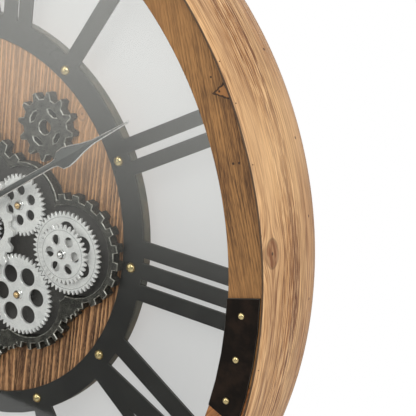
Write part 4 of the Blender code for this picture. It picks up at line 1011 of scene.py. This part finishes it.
@dataclass
class Drum:
    """Bentwood drum, its flat front ring, straps, nails and glass."""

    studs: StudTree
    sides: int = 240
    hoop_sharp_deg: float = 40.0
    front_y: float = -0.0822
    back_y: float = -0.0702
    board_chamfer: float = 0.0006
    inner_radius: float = 0.272
    outer_radius: float = 0.3002
    half_gap: float = 0.00015
    segment_steps: int = 48
    segment_span_deg: float = 60.0
    first_joint_deg: float = 95.8
    even_lean_deg: float = -3.0
    odd_lean_deg: float = 4.0
    nail_circle: float = 0.284
    nail_step_deg: float = 6.2
    nail_size: Point = (0.0024, 0.0015)
    strap_deg: float = 92.7
    strap_front_y: float = -0.0837
    strap_back_y: float = -0.0825
    strap_chamfer: float = 0.00025
    hoop_profile: tuple[Point, ...] = (
        (0.3009, -0.0886), (0.3013, -0.0890), (0.3020, -0.0890), (0.3027, -0.0884),
        (0.3037, -0.0862), (0.3043, -0.0820), (0.3048, -0.0720), (0.3050, -0.0600),
        (0.3050, -0.0480), (0.3046, -0.0370), (0.3038, -0.0290), (0.3024, -0.0220),
        (0.3000, -0.0150), (0.2966, -0.0082), (0.2930, -0.0030), (0.2908, -0.0004),
        (0.2902, 0.0), (0.2822, 0.0), (0.2820, -0.0003), (0.2820, -0.0666),
        (0.2903, -0.0666), (0.2903, -0.0698), (0.3007, -0.0699))
    glass_profile: tuple[Point, ...] = (
        (0.0, -0.0699), (0.2896, -0.0699), (0.29, -0.0695), (0.29, -0.0673),
        (0.2896, -0.0669), (0.0, -0.0669))
    board_tones: tuple[tuple[Colour, Colour, Colour], ...] = (
        (srgb(156, 112, 64), srgb(116, 78, 43), srgb(60, 36, 18)),
        (srgb(174, 116, 66), srgb(136, 84, 44), srgb(74, 42, 22)),
        (srgb(160, 114, 68), srgb(126, 86, 48), srgb(76, 48, 26)),
        (srgb(166, 122, 74), srgb(134, 94, 54), srgb(82, 52, 28)),
        (srgb(158, 108, 62), srgb(124, 82, 44), srgb(72, 44, 22)),
        (srgb(162, 116, 66), srgb(128, 88, 48), srgb(76, 48, 26)))

    def build(self) -> None:
        """Make every piece of the drum."""
        self.hoop()
        self.segments()
        self.straps()
        self.nails()
        self.glass()

    def hoop(self) -> None:
        """Outer drum, one smooth bent board."""
        made = Piece("drum_hoop").turned(self.hoop_profile, self.sides, closed=True)
        settle(made.done("hoop", sharp_deg=self.hoop_sharp_deg), "case", "hoop_wood",
               "rim_hoop")

    def segment_wood(self, number: int, middle_deg: float) -> Wood:
        """Stain of one segment, its grain nearly straight along the segment's chord."""
        light, middle, dark = self.board_tones[number - 1]
        lean = self.odd_lean_deg if number % 2 else self.even_lean_deg
        marks = {}
        if number == 1:
            marks = {"plug": ((0.2412, 0.1555), (0.2479, 0.1632), (0.2575, 0.1545)),
                     "nails": ((0.2622, 0.1144, 0.0012), (0.2664, 0.1158, 0.0012),
                               (0.2454, 0.1577, 0.0011), (0.2379, 0.1654, 0.001)),
                     "pales": (Oval(0.0937, -0.2692, 0.045, 0.05),
                               Oval(-0.135, -0.245, 0.06, 0.05))}
        return Wood("face_wood_%d" % number, light, middle, dark,
                    grain_deg=middle_deg + 90.0 + lean,
                    heart=-0.16 + 0.03 * number, heart_depth=0.02, heart_tilt=0.04,
                    ring_share=0.85, ring_glint=0.4, warp=0.6, stroke_share=0.5,
                    fibre_share=0.6, fibre_length=1.6, knot_tone=srgb(166, 112, 62),
                    bright=tuple(min(1.0, level * 1.25) for level in light),
                    # painted shadow along the board's outer edge, under the hoop's lip
                    seam=(0.2994, 0.3000), **marks)

    def segments(self) -> None:
        """Six flat boards cut to the ring."""
        gap_deg = math.degrees(self.half_gap / self.inner_radius)
        steps = self.segment_steps
        for number in range(1, 7):
            start = self.first_joint_deg + (number - 2) * self.segment_span_deg
            low, high = start + gap_deg, start + self.segment_span_deg - gap_deg
            angles = [low + (high - low) * i / steps for i in range(steps + 1)]
            loop = [polar(self.outer_radius, angle) for angle in angles]
            loop += [polar(self.inner_radius, angle) for angle in reversed(angles)]
            wood = self.segment_wood(number, (low + high) / 2.0)
            made = Piece("face_board_%d" % number).plate(
                [loop], self.front_y, self.back_y, self.board_chamfer)
            settle(made.done(wood, wood), "case", "face_wood", "face_segment_%d" % number)

    def straps(self) -> None:
        """Black straps over the joints, with bright worn edges."""
        for number in range(1, 7):
            node = "strap_%d" % number
            made = Piece("joint_" + node).plate(
                front_loops(node, self.strap_front_y)[:1], self.strap_front_y,
                self.strap_back_y, self.strap_chamfer)
            settle(made.done("strap", "black_edge"), "case", "black_steel", node)

    def nails(self) -> None:
        """Three dome nails to a strap."""
        spots = [polar(self.nail_circle, self.strap_deg + 60.0 * k + side * self.nail_step_deg)
                 for k in range(6) for side in (-1, 0, 1)]
        settle(self.studs.make("strap_nails", spots, self.strap_front_y, *self.nail_size),
               "case", "brass")

    def glass(self) -> None:
        """Front pane."""
        made = Piece("front_glass").turned(self.glass_profile, self.sides).done("glass")
        settle(made, "case", "glass", "glass_pane")


@dataclass
class Dial:
    """Numeral plate, pine disc, ring screws and the sprocket ornaments."""

    studs: StudTree
    plate_y: Point = (-0.026, -0.0245)
    plate_chamfer: float = 0.0002
    disc_y: Point = (-0.0242, -0.0162)
    disc_radius: float = 0.1645
    disc_bore: float = 0.0043
    disc_edge: float = 0.0006
    disc_sides: int = 192
    screw_circle: float = 0.1542
    screw_size: Point = (0.004, 0.0027)
    sprocket_y: Point = (-0.033, -0.0245)
    sprocket_chamfer: float = 0.0007
    slot_turn_deg: float = -34.0

    def build(self) -> None:
        """Make every piece of the dial."""
        self.plate()
        self.disc()
        self.screws()
        self.sprockets()

    def plate(self) -> None:
        """Roman numeral plate with a fine worn edge."""
        made = Piece("numeral_plate").plate(front_loops("dial_plate", self.plate_y[0]),
                                            *self.plate_y, self.plate_chamfer)
        settle(made.done("black", "black_edge"), "case", "black_steel", "dial_plate")

    def disc(self) -> None:
        """Pine disc with a painted side wall."""
        front, back = self.disc_y
        radius, edge = self.disc_radius, self.disc_edge
        profile = ((self.disc_bore, front), (radius - edge, front), (radius, front + edge),
                   (radius, back - edge), (radius - edge, back), (self.disc_bore, back))
        made = Piece("pine_disc").turned(profile, self.disc_sides, closed=True,
                                         slots=(0, 1, 1, 1, 0, 0))
        settle(made.done("disc", "disc_side"), "case", "disc_wood", "centre_disc")

    def screws(self) -> None:
        """Twelve dome screws, one at each hour."""
        spots = [polar(self.screw_circle, 30.0 * k) for k in range(12)]
        settle(self.studs.make("ring_screws", spots, self.plate_y[0], *self.screw_size),
               "case", "brass")

    def sprockets(self) -> None:
        """Cast sprockets with worn edges, their slots turned as in the photo."""
        for side in ("right", "left"):
            node = "sprocket_" + side
            outline, *openings = front_loops(node, self.sprocket_y[0])
            centre = tuple(sum(spot[i] for spot in outline) / len(outline) for i in (0, 1))
            turned = [turned_loop(loop, centre, self.slot_turn_deg) for loop in openings]
            made = Piece("cast_" + node).plate([outline, *turned], *self.sprocket_y,
                                               self.sprocket_chamfer)
            settle(made.done("iron", "iron_edge", sharp_deg=CAST_SHARP_DEG), "case",
                   "cast_iron", node)


@dataclass
class Wheel:
    """Sizes of one toothed wheel, in metres and clock degrees."""

    node: str
    body: str
    centre: Point
    teeth: int
    tip_radius: float
    root_radius: float
    phase_deg: float
    front_y: float = -0.0396
    back_y: float = -0.0376
    bore_radius: float = 0.0027
    holes: int = 6
    hole_circle: float = 0.0175
    hole_radius: float = 0.0072
    hole_turn_deg: float = 0.0
    tip_share: float = 0.18
    root_share: float = 0.8
    hub_radius: float = 0.0
    hub_y: float = 0.0
    # True where a thin grey ring of painted shade stands for a turned groove inside the teeth.
    groove: bool = False

    @property
    def hole_turn(self) -> float:
        """Turn of the holes in radians."""
        return math.radians(self.hole_turn_deg)

    @property
    def thickness(self) -> float:
        """Depth from the front face to the back."""
        return self.back_y - self.front_y


@dataclass
class Cap:
    """Domed tip in front of an arbor."""

    node: str
    body: str
    centre: Point
    back_y: float = -0.0426
    finish: str = "gold"
    slot: str = "brass"


@dataclass
class GearTrain:
    """The turning wheels, their caps and the bezel."""

    tree: WheelTree
    wheels: list[Wheel]
    caps: list[Cap]
    bezel_y: Point = (-0.0345, -0.0264)
    bezel_chamfer: float = 0.0006
    tooth_bevel: float = 0.00014
    bevel_from_deg: float = 50.0
    hub_edge: float = 0.0003
    hub_sides: int = 40
    # Sizes of the thin grey ring of painted groove shade.
    groove_sides: int = 96
    groove_inset: float = 0.0011
    groove_width: float = 0.0003
    groove_depths: Point = (0.0001, -0.00003)
    cap_sides: int = 32
    cap_profile: tuple[Point, ...] = (
        (0.0, 0.0), (0.0024, 0.0), (0.0024, -0.0007), (0.0022, -0.0011), (0.0017, -0.0015),
        (0.0009, -0.0017), (0.0, -0.0017))

    def build(self) -> None:
        """Make every piece of the train."""
        self.bezel()
        for wheel in self.wheels:
            self.wheel(wheel)
        for cap in self.caps:
            self.cap(cap)

    def bezel(self) -> None:
        """Cast bezel with worn bright edges and a dark inner wall."""
        made = Piece("cast_bezel").plate(front_loops("gear_bezel", self.bezel_y[0]),
                                         *self.bezel_y, self.bezel_chamfer)
        settle(made.done("iron", "iron_edge", sharp_deg=CAST_SHARP_DEG), "case", "cast_iron",
               "gear_bezel")

    def wheel(self, wheel: Wheel) -> None:
        """One toothed wheel with chamfered teeth, its hub, and a grey ring of painted groove
        shade.
        """
        names = WheelTree.INTEGERS + WheelTree.FLOATS
        mesh = self.tree.bake(wheel.node + "_blank", "silver", {
            name: getattr(wheel, name.lower().replace(" ", "_")) for name in names})
        turn = Matrix.Rotation(-math.radians(wheel.phase_deg), 4, "Z")
        place = Matrix.Translation((wheel.centre[0], wheel.back_y, AXIS_Z + wheel.centre[1]))
        mesh.transform(place @ UP_FROM_FLAT @ turn)
        mesh.materials.append(SHOP.finish("silver_edge"))
        made = link_mesh("toothed_" + wheel.node, mesh)
        bevel = made.modifiers.new("chamfer", "BEVEL")
        bevel.width = self.tooth_bevel
        bevel.segments = 1
        bevel.limit_method = "ANGLE"
        bevel.angle_limit = math.radians(self.bevel_from_deg)
        bevel.material = 1
        bevel.use_clamp_overlap = False
        settle(made, wheel.body, "silver", wheel.node)
        if wheel.hub_radius:
            self.hub(wheel)
        if wheel.groove:
            self.groove(wheel)

    def groove(self, wheel: Wheel) -> None:
        """Thin grey ring just inside the teeth: painted shade of a turned groove."""
        outer = wheel.root_radius - self.groove_inset
        inner = outer - self.groove_width
        low, high = (wheel.front_y + depth for depth in self.groove_depths)
        made = Piece(wheel.node + "_groove_shade_ring").turned(
            ((outer, low), (outer, high), (inner, high), (inner, low)), self.groove_sides,
            wheel.centre, closed=True)
        settle(made.done("groove"), wheel.body, "silver")

    def hub(self, wheel: Wheel) -> None:
        """Polished turned hub in front of a wheel, with a small fillet at its foot."""
        edge, inner, outer = self.hub_edge, wheel.bore_radius, wheel.hub_radius
        foot, top = wheel.front_y, wheel.hub_y
        profile = [(inner, foot), (outer + edge, foot), (outer, foot - edge),
                   (outer, top + edge), (outer - edge, top), (inner + edge, top),
                   (inner, top + edge)]
        made = Piece(wheel.node + "_hub").turned(profile, self.hub_sides, wheel.centre,
                                                 closed=True)
        nodes = ("upper_pinion",) if wheel.node == "upper_wheel" else ()
        settle(made.done("polished"), wheel.body, "silver", *nodes)

    def cap(self, cap: Cap) -> None:
        """Domed tip."""
        profile = [(radius, cap.back_y + depth) for radius, depth in self.cap_profile]
        made = Piece("domed_" + cap.node).turned(profile, self.cap_sides, cap.centre)
        settle(made.done(cap.finish), cap.body, cap.slot, cap.node)


@dataclass
class Hands:
    """Leaf hands."""

    thickness: float = 0.0012
    chamfer: float = 0.0006
    front_y: tuple[tuple[str, float], ...] = (("minute", -0.057), ("hour", -0.0536))

    def build(self) -> None:
        """Make both hands."""
        for body, front in self.front_y:
            node = body + "_hand"
            made = Piece("leaf_" + node).plate(front_loops(node, front), front,
                                               front + self.thickness, self.chamfer, 1)
            settle(made.done(body + "_face", "hand_edge"), body, "hand_grey", node)


class Dresser:
    """Gives every solid that still shows its finish."""

    FINISH_BY_SLOT = {
        "hoop_wood": "hoop", "face_wood": "rear_wood", "disc_wood": "disc",
        "black_steel": "black", "cast_iron": "iron", "silver": "silver", "brass": "brass",
        "steel": "steel", "hand_grey": "hand", "glass": "glass", "black_plastic": "plastic",
        "battery_sleeve": "sleeve",
    }
    FINISH_BY_NODE = {"gear_base_plate": "base"}

    def dress(self) -> None:
        """Set each solid's material from the slot that the record gives it."""
        slots = {part["node"]: part["material_slot"] for part in frame["record"]["subparts"]}
        for node, solid in frame["nodes"].items():
            name = self.FINISH_BY_NODE.get(node, self.FINISH_BY_SLOT[slots[node]])
            for slot in solid.material_slots:
                slot.material = SHOP.finish(name)


class Studio:
    """Camera, lights, wall and floor."""

    CAMERA_PLACE = (0.63616, -0.73117, 0.03383)
    LENS, SENSOR = 105.405, 36.0
    CLIP_NEAR, CLIP_FAR = 0.01, 50.0
    YAW, PITCH, ROLL = 0.53936, 0.28387, 0.12301
    # Name, place, x of the target, width in metres and power in watts.
    LAMPS = (("key_lamp", (0.9, -2.2, 1.3), 0.0, 1.2, 34.0),
             ("side_lamp", (2.2, -0.9, 0.4), 0.2, 1.0, 14.0),
             ("rear_lamp", (-0.9, 2.4, 0.8), 0.0, 1.2, 24.0))
    # Reach of each sheet in x, y and z.
    SHEETS = {"reflector_card": ((-3.4, -0.2), (-1.52, -1.52), (-1.7, 1.9)),
              "wall": ((-6.0, 6.0), (0.0012, 0.0012), (-1.3, 4.0)),
              "floor": ((-6.0, 6.0), (-8.0, 4.0), (-1.3, -1.3))}
    CARD_COLOUR, CARD_POWER = (1.0, 1.0, 0.955), 2.75
    WHITE, ROUGHNESS = (0.78, 0.78, 0.775), 0.9
    # World strength on surfaces, how much more the camera sees, how much less gloss does.
    WORLD_LEVEL, WORLD_SEEN, WORLD_GLOSS = 0.62, 0.38, 0.44

    def build(self) -> None:
        """Set up the whole studio."""
        self.camera()
        for lamp in self.LAMPS:
            self.lamp(*lamp)
        self.card()
        self.sheet("wall", self.wall_white())
        self.sheet("floor", self.floor_white())
        self.world()
        bpy.context.scene.view_settings.view_transform = "Standard"

    def camera(self) -> None:
        """Camera of the photograph's view."""
        data = bpy.data.cameras.new("photo_camera")
        data.lens = self.LENS
        data.sensor_width = self.SENSOR
        data.clip_start = self.CLIP_NEAR
        data.clip_end = self.CLIP_FAR
        back = Vector((math.sin(self.YAW) * math.cos(self.PITCH),
                       -math.cos(self.YAW) * math.cos(self.PITCH), math.sin(self.PITCH)))
        right = Vector((math.cos(self.YAW), math.sin(self.YAW), 0.0))
        up = back.cross(right)
        across = math.cos(self.ROLL) * right + math.sin(self.ROLL) * up
        above = math.cos(self.ROLL) * up - math.sin(self.ROLL) * right
        made = link_mesh("photo_camera", data)
        turn = Matrix((across, above, back)).transposed().to_4x4()
        made.matrix_world = Matrix.Translation(self.CAMERA_PLACE) @ turn
        bpy.context.scene.camera = made

    def lamp(self, name: str, place: Place, target_x: float, size: float,
             power: float) -> None:
        """Square soft lamp that faces the clock's axis, or a point beside it."""
        data = bpy.data.lights.new(name, "AREA")
        data.shape = "SQUARE"
        data.size = size
        data.energy = power
        made = link_mesh(name, data)
        made.location = place
        toward = Vector((target_x, 0.0, AXIS_Z)) - Vector(place)
        made.rotation_mode = "QUATERNION"
        made.rotation_quaternion = toward.to_track_quat("-Z", "Y")

    def sheet(self, name: str, material: Material) -> Object:
        """Flat stage sheet with four corners, upright or lying."""
        (left, right), (near, far), (low, high) = self.SHEETS[name]
        mesh = bpy.data.meshes.new(name)
        mesh.from_pydata([(left, near, low), (right, near, low), (right, far, high),
                          (left, far, high)], [], [(0, 1, 2, 3)])
        mesh.materials.append(material)
        made = link_mesh(name, mesh)
        return made

    def card(self) -> None:
        """Bright card that only the glass's reflection shows, at its upper left."""
        shader = Shader("card_glow")
        _, x, _, z = shader.place()
        fade = (shader.step(z, -1.0, -0.24) * shader.step(x, -2.4, -1.0)
                * shader.step(x, -0.2, -0.52))
        glow = shader.out("ShaderNodeEmission", {"Color": self.CARD_COLOUR,
                                                 "Strength": fade * self.CARD_POWER})
        made = self.sheet("reflector_card", shader.finish(glow))
        made.visible_camera = False
        made.visible_diffuse = False
        made.visible_shadow = False
        made.visible_transmission = False

    def white(self, name: str) -> tuple[Shader, Socket, Node]:
        """Start of a matt white material: graph, surface and the node of ray kinds."""
        shader = Shader(name)
        surface = shader.principled(Base_Color=self.WHITE, Roughness=self.ROUGHNESS)
        return shader, surface, shader.node("ShaderNodeLightPath")

    def floor_white(self) -> Material:
        """Matt white that the camera sees as nearly plain white."""
        shader, surface, rays = self.white("floor_white")
        seen = Socket(shader, rays.outputs["Is Camera Ray"])
        glow = shader.out("ShaderNodeEmission", {"Strength": 1.0})
        return shader.finish(shader.blend(seen * 0.7, surface, glow))

    def wall_white(self) -> Material:
        """Matt white that the camera sees as plain white away from the clock.

        It lets soft light through to the clock's back, and is clear when seen
        from behind.
        """
        shader, surface, rays = self.white("wall_white")
        seen, soft, shade = (Socket(shader, rays.outputs["Is %s Ray" % kind])
                             for kind in ("Camera", "Diffuse", "Shadow"))
        _, x, _, z = shader.place()
        rise = z - AXIS_Z
        outside = shader.step(shader.length(x, rise), 0.286, 0.29)
        # Inside the drum's circle the camera sees a dimmer glow, darker towards the upper
        # left: painted shade on the wall behind the dial.
        inner = shader.step(x * 0.7 - rise * 0.7, -0.25, 0.3) * 0.16 + 0.56
        glow = shader.out("ShaderNodeEmission",
                          {"Strength": outside * (1.0 - inner) + inner})
        plain = shader.blend(seen * (outside * 0.25 + 0.75), surface, glow)
        behind = shader.out("ShaderNodeNewGeometry", output="Backfacing")
        clear = shader.out("ShaderNodeBsdfTransparent")
        return shader.finish(shader.blend(shader.most(behind, soft, shade), plain, clear))

    def world(self) -> None:
        """Even studio light, white where the camera sees past the wall."""
        world = bpy.data.worlds.new("studio")
        bpy.context.scene.world = world
        world.use_nodes = True
        graph = Graph(world.node_tree)
        rays = graph.node("ShaderNodeLightPath")
        seen = Socket(graph, rays.outputs["Is Camera Ray"])
        glossy = Socket(graph, rays.outputs["Is Glossy Ray"])
        level = self.WORLD_LEVEL + seen * self.WORLD_SEEN - glossy * self.WORLD_GLOSS
        light = graph.out("ShaderNodeBackground",
                          {"Color": (1.0, 1.0, 1.0), "Strength": level})
        graph.node("ShaderNodeOutputWorld", {"Surface": light})


PITCH = 0.0013
ADDENDUM, DEDENDUM = 0.85 * PITCH, 1.6 * PITCH
UPPER_PHASE_DEG = 4.0
PLACES = {"centre": (0.0, 0.0), "upper": (0.0551598, 0.0255742), "right": (0.1034, 0.0),
          "lower_right": (0.0610227, -0.0458031), "bottom": (0.0064316, -0.0760284),
          "lower_left": (-0.0524612, -0.0554032)}
TEETH = {"centre": 57, "upper": 36, "right": 48, "lower_right": 48, "bottom": 48,
         "lower_left": 48}


def tooth_phases() -> dict[str, float]:
    """Clock angle of tooth zero of each wheel, so that neighbours mesh."""
    phases = {"upper": UPPER_PHASE_DEG}
    for driver, wheel in (("upper", "centre"), ("upper", "right"), ("right", "lower_right"),
                          ("lower_right", "bottom"), ("bottom", "lower_left")):
        (x0, z0), (x1, z1) = PLACES[driver], PLACES[wheel]
        contact = math.degrees(math.atan2(x1 - x0, z1 - z0))
        share = ((contact - phases[driver]) * TEETH[driver] / 360.0) % 1.0
        phases[wheel] = contact + 180.0 - (0.5 - share) * 360.0 / TEETH[wheel]
    return phases


def train_wheels() -> list[Wheel]:
    """Sizes of every wheel, as the solids have them."""
    phases = tooth_phases()

    def fine(body: str, teeth: int, **sizes: float) -> Wheel:
        half = teeth / 2.0 * PITCH
        node = sizes.pop("node", body + "_wheel")
        return Wheel(node, body, PLACES[body], teeth, half + ADDENDUM, half - DEDENDUM,
                     phases[body], **sizes)
    wheels = [
        Wheel("centre_gear", "centre", PLACES["centre"], 25, 0.05369, 0.04917, 1.1, -0.0432,
              -0.0401, 0.0058, 6, 0.0323, 0.01243, 24.2, 0.31, 0.67),
        fine("centre", 57, bore_radius=0.0058, holes=0, tip_share=0.1, hub_radius=0.009,
             hub_y=-0.0398),
        fine("upper", 36, hole_circle=0.012, hole_radius=0.00414, hole_turn_deg=-7.0,
             hub_radius=0.0036, hub_y=-0.0422),
        fine("right", 48, hole_turn_deg=-1.1, hub_radius=0.0058, hub_y=-0.0425,
             groove=True),
        fine("right", 34, node="right_front_wheel", front_y=-0.0444, back_y=-0.0428,
             hole_circle=0.012, hole_radius=0.004, hole_turn_deg=28.3, tip_share=0.34,
             hub_radius=0.0034, hub_y=-0.0464, groove=True),
    ]
    for body, turn in (("lower_right", -15.7), ("bottom", 22.0), ("lower_left", 22.0)):
        wheels.append(fine(body, 48, hole_turn_deg=turn, hub_radius=0.0036, hub_y=-0.0422))
    return wheels


def train_caps() -> list[Cap]:
    """Tips of the arbors, gilt but for the right one."""
    caps = [Cap(name + "_cap", "case", PLACES[name])
            for name in ("upper", "lower_right", "lower_left")]
    caps.append(Cap("motor_shaft_cap", "bottom", PLACES["bottom"]))
    caps.append(Cap("right_cap", "case", PLACES["right"], -0.0468, "polished", "steel"))
    return caps


def main() -> None:
    """Build the looks, sub-assembly by sub-assembly."""
    logging.basicConfig(level=logging.INFO, format="%(name)s: %(message)s")
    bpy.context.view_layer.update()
    studs = StudTree()
    Dresser().dress()
    Drum(studs).build()
    Dial(studs).build()
    GearTrain(WheelTree(), train_wheels(), train_caps()).build()
    Hands().build()
    Studio().build()


if __name__ == "__main__":
    main()
